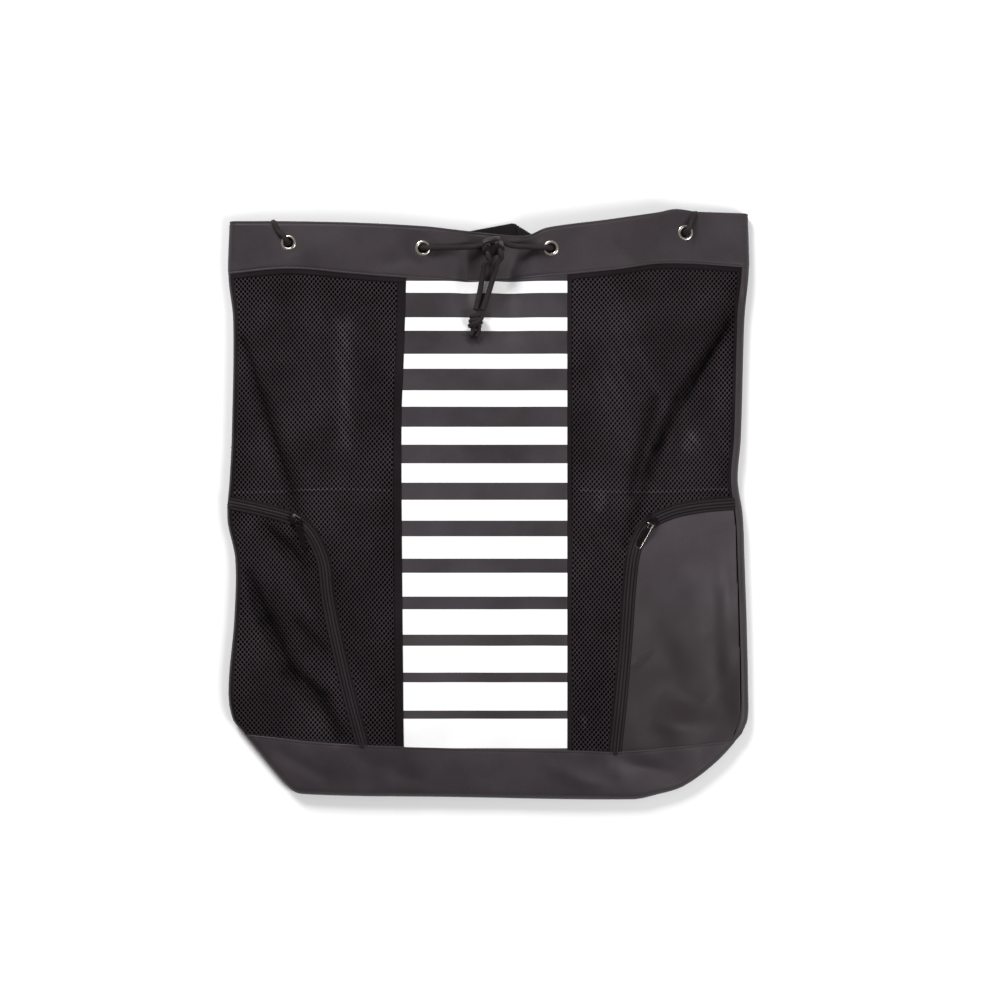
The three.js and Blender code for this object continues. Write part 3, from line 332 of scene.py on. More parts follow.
def tubeOf(line, radius, sides, around=None):
    # a ring of points at each step of the line, turned as little as possible from ring to ring
    n = len(line)
    tangent = wayOf(line)
    side = np.zeros_like(line)
    seed = np.array([0.0, 0.0, 1.0]) if abs(tangent[0][2]) < 0.8 else np.array([0.0, 1.0, 0.0])
    for k in range(n):
        seed = seed - tangent[k] * (seed @ tangent[k])
        seed = seed / np.linalg.norm(seed)
        side[k] = seed
    up = np.cross(tangent, side)
    angle = np.linspace(0, 2 * np.pi, sides, endpoint=False)
    steps = runOf(line)
    if around is None:
        r = np.broadcast_to(np.asarray(radius, float).reshape(-1, 1), (n, sides))
    else:
        r = around(angle[None], steps[:, None])
    outward = np.cos(angle)[None, :, None] * side[:, None] + np.sin(angle)[None, :, None] * up[:, None]
    rings = (line[:, None] + r[..., None] * outward).reshape(-1, 3)
    k, s = np.meshgrid(np.arange(n - 1), np.arange(sides), indexing="ij")
    k, s = k.ravel(), s.ravel()
    a, b = k * sides + s, k * sides + (s + 1) % sides
    faces = np.stack([a, b, b + sides, a + sides], 1).tolist()
    uAt = np.stack([s, s + 1, s + 1, s], 1) / sides
    vAt = np.stack([steps[k], steps[k], steps[k + 1], steps[k + 1]], 1)
    marks = [np.stack([uAt, vAt], 2).reshape(-1, 2)]
    # each end is closed by a fan round the line's last point
    points = np.vstack([rings, line[0], line[-1]])
    first, final, top = n * sides, n * sides + 1, (n - 1) * sides
    ring = np.arange(sides)
    faces += np.stack([np.full(sides, first), (ring + 1) % sides, ring], 1).tolist()
    faces += np.stack([np.full(sides, final), top + ring, top + (ring + 1) % sides], 1).tolist()
    marks.append(np.tile([[0.5, 0.0]], (sides * 3, 1)))
    marks.append(np.tile([[0.5, steps[-1]]], (sides * 3, 1)))
    return points, faces, np.vstack(marks)


def addTube(name, line, radius, sides, slot, around=None, **rest):
    points, faces, marks = tubeOf(line, radius, sides, around)
    return addPiece(name, points, faces, slot, uv=marks, **rest)


# free ends of the drawcord, which come before the rest

lockSet = {"x": 0.01, "y": 0.4315, "rise": 8.4, "turn": 12, "lean": 45, "holeX": 6.3, "mouthZ": 4.8}


def lockMatrix(s):
    # turned about Z after it is leant back about X
    turn = Matrix.Rotation(math.radians(s["turn"]), 4, "Z")
    lean = Matrix.Rotation(math.radians(s["lean"]), 4, "X")
    place = above(s["x"] * bag["width"], s["y"] * bag["height"], s["rise"])
    return np.array(Matrix.Translation(Vector(place)) @ (turn @ lean))


lockPlace = lockMatrix(lockSet)


def inLock(x, y, z):
    return (lockPlace @ np.array([x, y, z, 1.0]))[:3]


def clothPose(face, x, y, step):
    # square to the cloth: its slope is taken over a step about the size of what sits on it
    height, up = (frontHeight, 1) if face == "front" else (backHeight, -1)
    slopeX = float(height(x + step, y) - height(x - step, y)) / (2 * step)
    slopeY = float(height(x, y + step) - height(x, y - step)) / (2 * step)
    normal = Vector((-slopeX, -slopeY, 1)).normalized() * up
    square = Vector((0, 0, 1)).rotation_difference(normal).to_matrix().to_4x4()
    return np.array(Matrix.Translation(Vector((x, y, float(height(x, y))))) @ square)


def onto(matrix, points):
    points = np.asarray(points, float)
    return points @ matrix[:3, :3].T + matrix[:3, 3]


def braid(radius, depth, strands, pitch):
    # two families of ribs wound opposite ways: the cord stands out where they cross
    def shape(angle, along):
        wave = 2 * np.pi * along / pitch
        ribs = np.abs(np.cos(strands * angle / 2 + wave / 2) * np.cos(strands * angle / 2 - wave / 2))
        return radius - depth + depth * ribs
    return shape


endSet = {"step": 0.7, "sides": 36, "braidDepth": 0.42, "proud": 0.4, "strands": 6, "pitch": 3.4}
mouthZ, holeX = lockSet["mouthZ"], lockSet["holeX"]
endRoutes = {
    "left": [inLock(-holeX, 0, mouthZ + 0.3), inLock(-holeX, -0.1, mouthZ + 2),
             inLock(-holeX, -1.8, mouthZ + 4.4), inLock(-holeX + 0.2, -5.4, mouthZ + 5.6),
             above(-3.2, 239, 9.5), above(-4.4, 233, 7.2), above(-5.6, 227, 5.4), above(-6.8, 220, 4.3),
             above(-8, 213, 4.2), above(-9.4, 206, 4.3), above(-10.8, 200, 4.3), above(-12.2, 194, 4.8)],
    "right": [inLock(holeX, 0, mouthZ + 0.3), inLock(holeX, -0.1, mouthZ + 2),
              inLock(holeX, -1.8, mouthZ + 4.4), inLock(holeX - 0.4, -5.4, mouthZ + 5.6),
              above(9.2, 240, 9.8), above(7.6, 233.5, 7.4), above(5.6, 227, 5.5), above(3.4, 220, 4.3),
              above(1.2, 213, 4.2), above(-1.2, 206, 4.3), above(-3.4, 200, 4.3), above(-5.6, 194, 4.8)],
}
cordRadius = cordSet["diameter"] / 2


def plait(radius, s=endSet):
    return braid(radius, s["braidDepth"], s["strands"], s["pitch"])


cordEnds, endLines = {}, {}
for side, route in endRoutes.items():
    line = curveThrough(route, endSet["step"])
    endLines[side] = line
    cordEnds[side] = addTube(camel(f"cord_end_{side}"), line, cordRadius, endSet["sides"], "cord",
                             around=plait(cordRadius + endSet["proud"]), replaces=[f"cord_end_{side}"])

knotSet = {
    "x": -12, "y": 183, "turn": -9, "rise": 5.8, "turns": 3.1, "halfWidth": 5.1, "halfHeight": 2.7,
    "slant": 1.3, "length": 13.5, "radius": 2.55, "crossRadius": 2.1, "step": 0.6, "sides": 28,
    "cross": [(4.6, 7.4, 2.0), (5.6, 3.5, 3.2), (2.4, -0.6, 4.4), (-2.8, -3.6, 3.4), (-5.4, -6.6, 0.6)],
}


def knotWraps(s):
    # wraps of the cord round its two runs, a flattened helix whose turns lean, and one run laid across them
    a = np.linspace(0, 2 * np.pi * s["turns"], 260)
    share = a / a[-1]
    tuck = 1 - 0.5 * ease((share - 0.93) / 0.07) - 0.5 * ease((0.07 - share) / 0.07)
    fall = s["length"] * (0.5 - share) + s["slant"] * np.cos(a)
    wraps = np.stack([s["halfWidth"] * tuck * np.cos(a), fall, s["halfHeight"] * tuck * np.sin(a)], 1)
    return evenly(wraps, s["step"]), curveThrough(s["cross"], s["step"])


def inKnot(line, s):
    t = math.radians(s["turn"])
    turned = np.stack([line[:, 0] * math.cos(t) - line[:, 1] * math.sin(t),
                       line[:, 0] * math.sin(t) + line[:, 1] * math.cos(t), line[:, 2]], 1)
    return turned + above(s["x"], s["y"], s["rise"])


wrapLine, crossLine = (inKnot(line, knotSet) for line in knotWraps(knotSet))
knot = addTube("cordKnot", wrapLine, knotSet["radius"], knotSet["sides"], "cord",
               around=plait(knotSet["radius"]), replaces=["cord_knot"])
knotCross = addTube("cordKnotCross", crossLine, knotSet["radius"], knotSet["sides"], "cord",
                    around=plait(knotSet["crossRadius"]))
tailRoutes = [[(-10.5, 180, 5.2), (-9.2, 175.5, 4.4), (-9.6, 171, 3.4), (-11.6, 167.5, 3.0)],
              [(-13.5, 180, 5.4), (-14.4, 175.5, 4.6), (-15.6, 171.5, 3.7), (-17.4, 168.8, 3.1)]]
tails = []
for k, route in enumerate(tailRoutes):
    line = curveThrough([above(*p) for p in route], 0.7)
    radius = cordRadius * np.linspace(0.96, 0.8, len(line))
    tails.append(addTube(f"cordTail{k + 1}", line, radius, 20, "cord"))
fraySet = {"fibres": 16, "length": 5.2, "spread": 2.4, "radius": 0.24, "seed": 4}
rng = np.random.default_rng(fraySet["seed"])
frayed = []
for k, route in enumerate(tailRoutes):
    start, before = above(*route[-1]), above(*route[-2])
    way = (start - before) / np.linalg.norm(start - before)
    points, faces, marks, count = [], [], [], 0
    for _ in range(fraySet["fibres"]):
        root = start + rng.normal(0, 0.7, 3) - way * 0.8
        tip = root + way * fraySet["length"] * rng.uniform(0.6, 1.1)
        tip += rng.normal(0, fraySet["spread"], 3) * [1, 1, 0.3]
        root[2] = max(root[2], start[2] - 1.4)
        tip[2] = max(tip[2], float(frontHeight(tip[0], tip[1])) + 0.7)
        bend = (root + tip) / 2 + rng.normal(0, 0.6, 3) * [1, 1, 0.4]
        p, f, m = tubeOf(curveThrough([root, bend, tip], 1.0), fraySet["radius"], 5)
        faces += [[v + count for v in face] for face in f]
        points.append(p)
        marks.append(m)
        count += len(p)
    frayed.append(addPiece(f"cordFray{k + 1}", np.vstack(points), faces, "cord", uv=np.vstack(marks)))
print("cord ends and knot made")

# cloth of the front with its smaller creases

ridges = [  # start, end, width and height in millimetres; a negative height is a valley
    (-143, 175, -143, 60, 7, 1.3), (-246, 165, -190, -16, 3.2, -1.1), (-232, 120, -214, 40, 9, 0.9),
    (247, 187, 190, 107, 4.2, -1.7), (190, 107, 157, 30, 4.2, -1.7), (166, 105, 143, 11, 3.6, -1.2),
    (193, 105, 171, 29, 6, 1.4), (254, 207, 170, 57, 3.4, -1.2), (203, 63, 206, 66, 8, 2.0),
    (112, 3, 113, 4, 8, 1.6), (95, -218, 96, -216, 7, 1.5), (42, 267, 24, 233, 9, -1.3),
    (24, 233, 6, 193, 9, -1.0), (-20, 250, -24, 205, 7, -1.0), (-241, -71, -222, -116, 6, -2.2),
    (-222, -116, -198, -167, 6, -2.6), (-198, -167, -166, -191, 6, -2.6),
    (-166, -191, -150, -230, 6, -2.4), (-189, -119, -166, -144, 4.5, -1.5),
    (-223, -23, -184, -61, 5, -1.8), (-210, -60, -186, -100, 7, 1.3), (-236, -150, -212, -200, 8, 1.2),
    (144, -160, 162, -148, 2.4, -0.8), (177, -190, 232, -206, 12, -1.5), (160, -215, 210, -225, 10, 1.1),
    (225, -90, 236, -190, 12, -1.2), (132, -255, 192, -275, 9, -1.8), (60, -262, 110, -282, 9, 1.2),
    (-120, -256, -60, -280, 10, -1.1), (-205, -250, -165, -272, 8, -1.4), (-60, 252, -110, 240, 9, -0.9),
    (120, 262, 150, 238, 8, -1.0), (70, 190, 68, 60, 9, 0.7), (-70, 130, -62, -80, 12, 0.6),
    (20, 20, 60, -150, 16, -0.8), (-40, -20, 10, 120, 16, -0.8), (160, -150, 225, -185, 30, -2.2),
    (150, -60, 235, -75, 34, 2.0), (233, -30, 240, -190, 9, 1.0),
]
# times the heights of the small ridges and of the main valleys; the eyelets' seats and the rim stay smooth
creaseSet = {"ridge": 2.0, "fold": 0.7, "seat": 8.5, "seatFade": 9, "rimFade": 18}
# the storage crease: its line and reach, its height and width, and the width and strength of a painted
# highlight along it
storageCrease = {"y": 14, "wave": 1.5, "waveLength": 31, "middle": -4, "from": 92, "fade": 6,
                 "width": 1.2, "height": 1.0, "sheenWidth": 1.1, "sheen": 0.34}
rippleSet = {"seed": 11, "count": 14, "height": 0.16, "shortest": 26, "longest": 95}
rippleRng = np.random.default_rng(rippleSet["seed"])
rippleWays = rippleRng.uniform(0, np.pi, rippleSet["count"])
rippleLengths = rippleRng.uniform(rippleSet["shortest"], rippleSet["longest"], rippleSet["count"])
ripplePhases = rippleRng.uniform(0, 2 * np.pi, rippleSet["count"])
eyelets = [  # node, face and place, as shares of the bag's width and height
    ("eyelet_front_outer_left", "front", -0.38, 0.443), ("eyelet_front_inner_left", "front", -0.124, 0.433),
    ("eyelet_front_inner_right", "front", 0.12, 0.433), ("eyelet_front_outer_right", "front", 0.376, 0.46),
    ("eyelet_back_left", "back", -0.38, 0.44), ("eyelet_back_right", "back", 0.376, 0.45),
]


def overStorage(x, y, c=storageCrease):
    # height above the crease that storage left across the bag, and how much of the crease there is at x
    over = y - c["y"] - c["wave"] * np.sin(x / c["waveLength"])
    return over, ease((np.abs(x - c["middle"]) - c["from"]) / c["fade"])


def creases(x, y):
    # small ridges and valleys, the storage crease, slow ripples, and a flat seat at each eyelet
    total = 0
    for *ends, width, height in ridges:
        along, away = fromSegment(x, y, *ends)
        shape = (0.5 + 0.5 * np.sin(np.pi * along)) * bell(away, width)
        total = total + creaseSet["ridge"] * height * shape
    total = total - creaseSet["fold"] * foldDepth(x, y, folds)
    over, shown = overStorage(x, y)
    total = total + storageCrease["height"] * bell(over, storageCrease["width"]) * shown
    for way, length, phase in zip(rippleWays, rippleLengths, ripplePhases):
        along = x * np.cos(way) + y * np.sin(way)
        total = total + rippleSet["height"] * np.sin(2 * np.pi * along / length + phase)
    keep = 1
    for _, face, ex, ey in eyelets:
        if face == "front":
            away = np.hypot(x - ex * bag["width"], y - ey * bag["height"])
            keep = keep * ease((away - creaseSet["seat"]) / creaseSet["seatFade"])
    return total * keep * np.clip(rim(x, y)[2] / creaseSet["rimFade"], 0, 1)


def frontLook(x, y):
    return frontHeight(x, y) + creases(x, y)


def frontGrid(x, y, lift):
    points = np.stack([x, y, frontLook(x, y)], 2)
    return points + gridNormals(points, False) * np.asarray(lift)[..., None]


def stepsIn(length, fine, coarse):
    # fine steps from each end, then even ones about the coarse size
    fine = np.asarray(fine, float)
    inner = np.linspace(fine[-1], length - fine[-1], max(2, int((length - 2 * fine[-1]) / coarse)))
    return np.concatenate([fine[:-1], inner, (length - fine[:-1])[::-1]]) / length


rimSteps = [0, 0.15, 0.6, 1.3, 2.3, 3.6, 5.2, 7]
grounded = 0.05  # no cloth of the bag lies lower than this


def sewnEdge(away, s):
    # a groove at the hem's stitches and a rounding at the edge itself
    return s["hemDepth"] * bell(away - s["hemAt"], s["hemWidth"]) + 0.5 * bell(away, 0.5)


# collar: one band round the mouth, front and back

collarSet = {"thickness": 1.3, "lift": 0.7, "backLift": 0.05, "coarse": 2.0, "hemAt": 2.4, "hemWidth": 0.55,
             "hemDepth": 0.45, "lap": 0.8, "hole": 5.5, "low": 0.39, "span": 0.095, "height": 0.09,
             "backSewn": 0.3}


def collarPiece(s):
    # rows run from the seam to the mouth, columns round the bag: front left to right, back right to left
    share = stepsIn(bag["width"], rimSteps, s["coarse"])
    t = stepsIn(s["height"] * bag["height"], [0, 0.4, 0.9, 1.5, 2.1, 2.6, 3.2, 4.4], s["coarse"])
    back = share[1:-1][::-1]
    shares = np.concatenate([share, back])
    front = np.arange(len(shares)) < len(share)
    middleY = bag["height"] * (s["low"] + s["span"] * t)
    x = acrossAt("left", middleY)[:, None] * (1 - shares) + acrossAt("right", middleY)[:, None] * shares
    seam, top = alongAt("collarSeam", x) - s["lap"], alongAt("top", x)
    y = seam + (top - seam) * t[:, None]
    z = np.where(front[None], frontLook(x, y), backHeight(x, y))
    points = np.stack([x, y, z], 2)
    sewn = sewnEdge(top - y, s) + sewnEdge(y - seam, s)
    lift = np.where(front[None], s["lift"] - sewn, s["backLift"] - sewn * s["backSewn"])
    points = points + gridNormals(points, True) * lift[..., None]
    points[..., 2] = np.maximum(points[..., 2], grounded)
    midX, midY = ((q[:-1] + q[1:]) / 2 for q in (x, y))
    midX, midY = ((q + np.roll(q, -1, 1)) / 2 for q in (midX, midY))
    keep = np.ones(midX.shape, bool)
    cellFront = front & np.roll(front, -1)
    for _, face, ex, ey in eyelets:
        near = np.hypot(midX - ex * bag["width"], midY - ey * bag["height"]) < s["hole"]
        keep &= ~(near & (cellFront[None] == (face == "front")))
    return wallOf(points, np.full(points.shape[:2], s["thickness"]), keep, True)


# base: the coated bottom, front and back, closed over the bottom edge

baseSet = {"thickness": 1.2, "lift": 0.7, "backLift": 0.05, "lap": 0.8, "columns": 240, "depth": 56,
           "rowStep": 2.0, "hemAt": 2.2, "hemWidth": 0.55, "hemDepth": 0.4, "left": -0.4655, "right": 0.473,
           "crowding": 0.55}


def basePiece(s):
    # columns run across the bag, rows from the back seam round the bottom edge to the front seam
    left, right, crowding = s["left"] * bag["width"], s["right"] * bag["width"], s["crowding"]
    a = np.linspace(0, np.pi, s["columns"])
    spread = crowding * np.cos(a) + (1 - crowding) * (1 - 2 * a / np.pi)
    x = (left + right) / 2 - (right - left) / 2 * spread
    t = stepsIn(s["depth"], rimSteps, s["rowStep"])
    v = np.concatenate([-t[:0:-1], t])
    x = np.broadcast_to(x[None], (len(v), len(x)))
    seam, low = alongAt("baseSeam", x) + s["lap"], alongAt("bottom", x)
    y = low + np.maximum(seam - low, 0.4) * np.abs(v)[:, None]
    front = (v >= 0)[:, None]
    z = np.where(front, frontLook(x, y), backHeight(x, y))
    points = np.stack([x, y, z], 2)
    lift = np.where(front, s["lift"] - sewnEdge(seam - y, s), s["backLift"])
    points = points + gridNormals(points, False) * lift[..., None]
    points[..., 2] = np.maximum(points[..., 2], grounded)
    return wallOf(points, np.full(points.shape[:2], s["thickness"]))


# back panel: the coated back, rolled round both side seams, with a strip of the front on the right

backSet = {"thickness": 1.0, "lift": 0.25, "leftStrip": 2.2, "rightStrip": 7.5, "cornerTuck": 4.5, "lap": 2,
           "low": -0.39, "span": 0.785, "coarse": 4.0, "rowStep": 3.0, "slack": 0.35,
           "waves": (17, 40, 23, 60)}


def backRows(s):
    return stepsIn(s["span"] * bag["height"], [0, 0.3, 0.8, 1.6], s["rowStep"])


def backPiece(s):
    # columns start on the front at the left, run round the side seam, across the back and up the right side
    leftIn = [s["leftStrip"]] + [step for step in rimSteps[::-1] if step < s["leftStrip"]]
    rightIn = np.array(rimSteps)
    across = stepsIn(bag["width"], rimSteps, s["coarse"])[1:-1]
    t = backRows(s)
    y0 = bag["height"] * (s["low"] + s["span"] * t)
    tuck = s["cornerTuck"] * bell(y0 / bag["height"] - s["low"], 0.03)[:, None]
    left, right = acrossAt("left", y0)[:, None], acrossAt("right", y0)[:, None]
    strip = right - s["rightStrip"] - tuck
    x = np.concatenate([left + leftIn, left + (right - left) * across, right - rightIn, strip], 1)
    behind = np.arange(x.shape[1]) - len(leftIn)
    front = (behind < 0) | (behind >= len(across))
    low = np.maximum(alongAt("baseSeam", x) - s["lap"], alongAt("bottom", x) + 0.02)
    high = alongAt("collarSeam", x) + s["lap"]
    y = low + (high - low) * t[:, None]
    short, bend, tall, lean = s["waves"]
    wrinkle = s["slack"] * np.sin(x / short + np.sin(y / bend)) * np.sin(y / tall + x / lean)
    wrinkle = np.maximum(0, wrinkle) * ease((rim(x, y)[0] - 8) / 20)
    points = np.stack([x, y, np.where(front[None], frontLook(x, y), backHeight(x, y) + wrinkle)], 2)
    # the grid's normals point into the bag, so it is moved against them and turned over
    points = points - gridNormals(points, False) * s["lift"]
    points[..., 2] = np.maximum(points[..., 2], grounded)
    return wallOf(points[:, ::-1], np.full(points.shape[:2], s["thickness"]))


# centre panel

panelSet = {"width": 165, "height": 475, "thickness": 0.7, "lift": 0.35, "coarse": 2.2, "lap": 2,
            "edgeDepth": 0.45, "edgeWidth": 0.45}


def beside(name, shift=0):
    # a line up the bag, this far across from one of the outline's long edges
    return lambda y: acrossAt(name, y) + shift


def over(name, shift):
    # a line across the bag, this far above one of its seams
    return lambda x: alongAt(name, x) + shift


def level(height):
    return lambda x: np.full(np.shape(x), height)


def betweenLines(startLine, endLine, lowLine, highLine, columns, rows, at=(-0.415, 0.385)):
    # a grid that fills the space between two long edges and two cross edges
    s, t = np.asarray(columns), np.asarray(rows)
    y0 = bag["height"] * (at[0] + (at[1] - at[0]) * t)[:, None]
    x = startLine(y0) * (1 - s) + endLine(y0) * s
    y = lowLine(x) * (1 - t[:, None]) + highLine(x) * t[:, None]
    return x, y


def panelPiece(s):
    columns = stepsIn(s["width"], [0, 0.4, 0.9, 1.6], s["coarse"])
    rows = np.linspace(0, 1, int(s["height"] / s["coarse"]))
    x, y = betweenLines(beside("panelLeft"), beside("panelRight"), over("baseSeam", -s["lap"]),
                        over("collarSeam", s["lap"]), columns, rows)
    edge = np.minimum(columns, 1 - columns) * s["width"]
    lift = s["lift"] - s["edgeDepth"] * bell(edge, s["edgeWidth"])
    points = frontGrid(x, y, np.broadcast_to(lift, x.shape))
    return wallOf(points, np.full(points.shape[:2], s["thickness"]), u=columns, v=rows)


# zips: the middle line of each, and how far a place lies on the pocket's side of it

zipSet = {"width": 12.5, "step": 1.0, "across": 27, "lift": 0.55, "thickness": 0.7, "coilHalf": 2.3,
          "coilGap": 0.9, "coilRise": 0.75, "toothPitch": 1.9, "toothDepth": 0.16,
          # grooves by depth and width
          "edgeFall": (0.5, 0.35), "middleGroove": (0.95, 0.45), "sideGroove": (0.35, 0.5)}
zipCurves = {}
for side, rows in zipLines.items():
    route = [(x * bag["width"], y * bag["height"], 0) for x, y in rows]
    zipCurves[side] = curveThrough(route, zipSet["step"])[:, :2]


def insideSeams(line, left, right, low):
    # the part of a line that keeps these distances from the side seams and the base seam
    x, y = line[:, 0], line[:, 1]
    keep = (x > acrossAt("left", y) + left) & (x < acrossAt("right", y) - right)
    return line[keep & (y > alongAt("baseSeam", x) + low)]


def besideLine(line, w):
    # places at the distances w to the right of a line
    way = wayOf(line)
    return line[:, 0, None] + way[:, 1, None] * w, line[:, 1, None] - way[:, 0, None] * w


def pocketDistance(side, x, y):
    # distance from the nearest point of the zip's line, positive on the pocket's side
    line = zipCurves[side][::3]
    way = wayOf(line)
    sign = -1 if side == "left" else 1
    flatX, flatY = x.ravel(), y.ravel()
    result = np.empty(flatX.shape)
    for part in np.array_split(np.arange(len(flatX)), max(1, len(flatX) // 4000)):
        dx, dy = flatX[part, None] - line[:, 0], flatY[part, None] - line[:, 1]
        near = np.argmin(dx * dx + dy * dy, 1)
        pick = np.arange(len(part)), near
        result[part] = sign * (way[near, 0] * dy[pick] - way[near, 1] * dx[pick])
        far = np.sqrt(dx[pick] ** 2 + dy[pick] ** 2)
        result[part] = np.where(result[part] >= 0, far, -far)
    return result.reshape(x.shape)


def acrossBand(width, inset, count):
    # places across a band: two close together at each edge and even ones between
    half = width / 2
    inner = np.linspace(-half + inset, half - inset, count)
    return np.concatenate([[-half, -half + 0.3], inner, [half - 0.3, half]])


def zipPiece(side, s):
    # two flat tapes with rounded edges and, between them, the toothed back of the coil in a shallow groove
    line = evenly(insideSeams(zipCurves[side], 0.8, 5.5, -3), s["toothPitch"] / 4)
    edge = s["width"] / 2
    w = acrossBand(s["width"], 0.8, s["across"])
    x, y = besideLine(line, w)
    along = runOf(line)
    coil = np.exp(-(w / s["coilHalf"]) ** 4)
    phase = 2 * np.pi * along[:, None] / s["toothPitch"] + np.sign(w) * np.pi / 2
    teeth = s["toothDepth"] * coil * np.cos(phase)
    fromCoil = np.abs(w) - s["coilHalf"] - s["coilGap"]
    profile = s["coilRise"] * coil
    for away, (depth, reach) in ((edge - np.abs(w), s["edgeFall"]), (w, s["middleGroove"]),
                                 (fromCoil, s["sideGroove"])):
        profile = profile - depth * bell(away, reach)
    points = frontGrid(x, y, s["lift"] + profile + teeth)
    return wallOf(points, np.full(points.shape[:2], s["thickness"]), u=w + edge, v=along)


pocketSet = {"x": (128, 262), "y": (-252, 10), "step": 2.0, "lift": -0.3, "thickness": 0.7, "under": 3,
             "lap": 2.5, "seam": 8.6}


def rightPocket(s):
    # an even grid over a box, drawn in at its right side, of which only the cells inside the pocket are kept
    x, y = np.meshgrid(np.arange(*s["x"], s["step"]), np.arange(*s["y"], s["step"]))
    x = np.minimum(x, acrossAt("right", y) - s["seam"])
    points = frontGrid(x, y, np.full(x.shape, s["lift"]))
    middle = points[:-1, :-1] / 4 + points[1:, :-1] / 4 + points[:-1, 1:] / 4 + points[1:, 1:] / 4
    midX, midY = middle[..., 0], middle[..., 1]
    wide = np.diff(x, axis=1) > 0.02
    inside = pocketDistance("right", midX, midY) > s["under"]
    inside &= (midY > alongAt("baseSeam", midX) - s["lap"]) & wide[:-1] & wide[1:]
    return wallOf(points, np.full(points.shape[:2], s["thickness"]), inside)


# open mesh: staggered rows of holes, each in a six-sided cell whose edges are the thick of the yarn

netSet = {"pitch": 4.38, "row": 2.55, "holeHalfWidth": 1.2, "holeHalfHeight": 1.5, "yarn": 0.85,
          "lift": -0.75, "zipGap": 4.0, "drift": 1.2}
# each part of the yarn between a hole and its cell: the cell's corners and the hole's points that it joins
netParts = [((0, 1), (0, 1)), ((1, 2), (1, 2, 3)), ((2, 3), (3, 4)), ((3, 4), (4, 5)), ((4, 5), (5, 6, 7)),
            ((5,), (7, 0))]


def drifted(q):
    # rows and columns of holes that wander a little, as knitting does
    wave = np.stack([np.sin(q[:, 1] / 47 + q[:, 0] / 90), np.sin(q[:, 0] / 38)], 1)
    return q + netSet["drift"] * wave


def netPiece(name, xRange, yRange, insideAt, s):
    # cell corners are the places equally far from three holes; a hole is an eight-sided oval
    p, r = s["pitch"], s["row"]
    topY, sideY = (p * p / 4 + r * r) / (2 * r), (r * r - p * p / 4) / (2 * r)
    upper = np.array([(p / 2, sideY), (0, topY), (-p / 2, sideY)])
    outer = np.vstack([upper, -upper])
    a = np.arange(8) * np.pi / 4
    hole = np.stack([s["holeHalfWidth"] * np.cos(a), s["holeHalfHeight"] * np.sin(a)], 1)
    rowCount, columnCount = int((yRange[1] - yRange[0]) / r), int((xRange[1] - xRange[0]) / p) + 1
    j, i = np.meshgrid(np.arange(rowCount), np.arange(columnCount), indexing="ij")
    cx = (xRange[0] + (i + 0.5 * (j % 2)) * p).ravel()
    cy = (yRange[0] + j * r).ravel()
    inside = insideAt(cx, cy)
    cx, cy = cx[inside], cy[inside]
    n = len(cx)
    cells = np.stack([cx, cy], 1)[:, None]
    corner = (cells + outer).reshape(-1, 2)
    spots = np.round(corner / 0.05).astype(int)
    _, first, back = np.unique(spots, axis=0, return_index=True, return_inverse=True)
    corner, rings = drifted(corner[first]), drifted((cells + hole).reshape(-1, 2))
    half, m = s["yarn"] / 2, len(corner)
    cz, rz = (frontLook(q[:, 0], q[:, 1]) + s["lift"] for q in (corner, rings))
    points = np.vstack([np.column_stack([corner, cz + half]), np.column_stack([corner, cz - half]),
                        np.column_stack([rings, rz])])
    o, h = back.reshape(n, 6), 2 * m + np.arange(n * 8).reshape(n, 8)
    ring = [(o[:, 5], o[:, 0], h[:, 0])]
    for corners, holes in netParts:
        for k in range(len(holes) - 1):
            ring.append((o[:, corners[0]], h[:, holes[k + 1]], h[:, holes[k]]))
        if len(corners) > 1:
            ring.append((o[:, corners[0]], o[:, corners[1]], h[:, holes[-1]]))
    top = np.vstack([np.stack(t, 1) for t in ring])
    bottom = np.where(top < m, top + m, top)[:, ::-1]
    edges = np.vstack([np.stack([o[:, k], o[:, (k + 1) % 6]], 1) for k in range(6)])
    _, index, counts = np.unique(np.sort(edges, 1), axis=0, return_index=True, return_counts=True)
    rimEdges = edges[index[counts == 1]]
    walls = np.stack([rimEdges[:, 1], rimEdges[:, 0], rimEdges[:, 0] + m, rimEdges[:, 1] + m], 1)
    faces = top.tolist() + bottom.tolist() + walls.tolist()
    print(f"{name}: {n} holes, {2 * len(top) + 2 * len(walls)} triangles")
    return points, faces


def inMesh(side):
    leftEdge, rightEdge = ("left", "panelLeft") if side == "left" else ("panelRight", "right")

    def inside(x, y):
        across = (x > acrossAt(leftEdge, y) + 2.5) & (x < acrossAt(rightEdge, y) - 6.5)
        along = (y < alongAt("collarSeam", x) - 4) & (y > alongAt("baseSeam", x) + 0.5)
        return across & along & (pocketDistance(side, x, y) < -netSet["zipGap"])
    return inside


def inLeftPocket(x, y):
    across = (pocketDistance("left", x, y) > netSet["zipGap"]) & (x > acrossAt("left", y) + 2.2)
    return across & (y > alongAt("baseSeam", x) + 0.5) & (y > alongAt("bottom", x) + 3)


# finishes: shared patterns are node groups, built once


def newGroup(name, size, usual, outputs):
    # a pattern takes a place in millimetres and one size of its own
    tree = bpy.data.node_groups.new(name, "ShaderNodeTree")
    tree.interface.new_socket("Place", in_out="INPUT", socket_type="NodeSocketVector")
    tree.interface.new_socket(size, in_out="INPUT", socket_type="NodeSocketFloat").default_value = usual
    for label in outputs:
        tree.interface.new_socket(label, in_out="OUTPUT", socket_type="NodeSocketFloat")
    return tree, tree.nodes.new("NodeGroupInput"), tree.nodes.new("NodeGroupOutput")


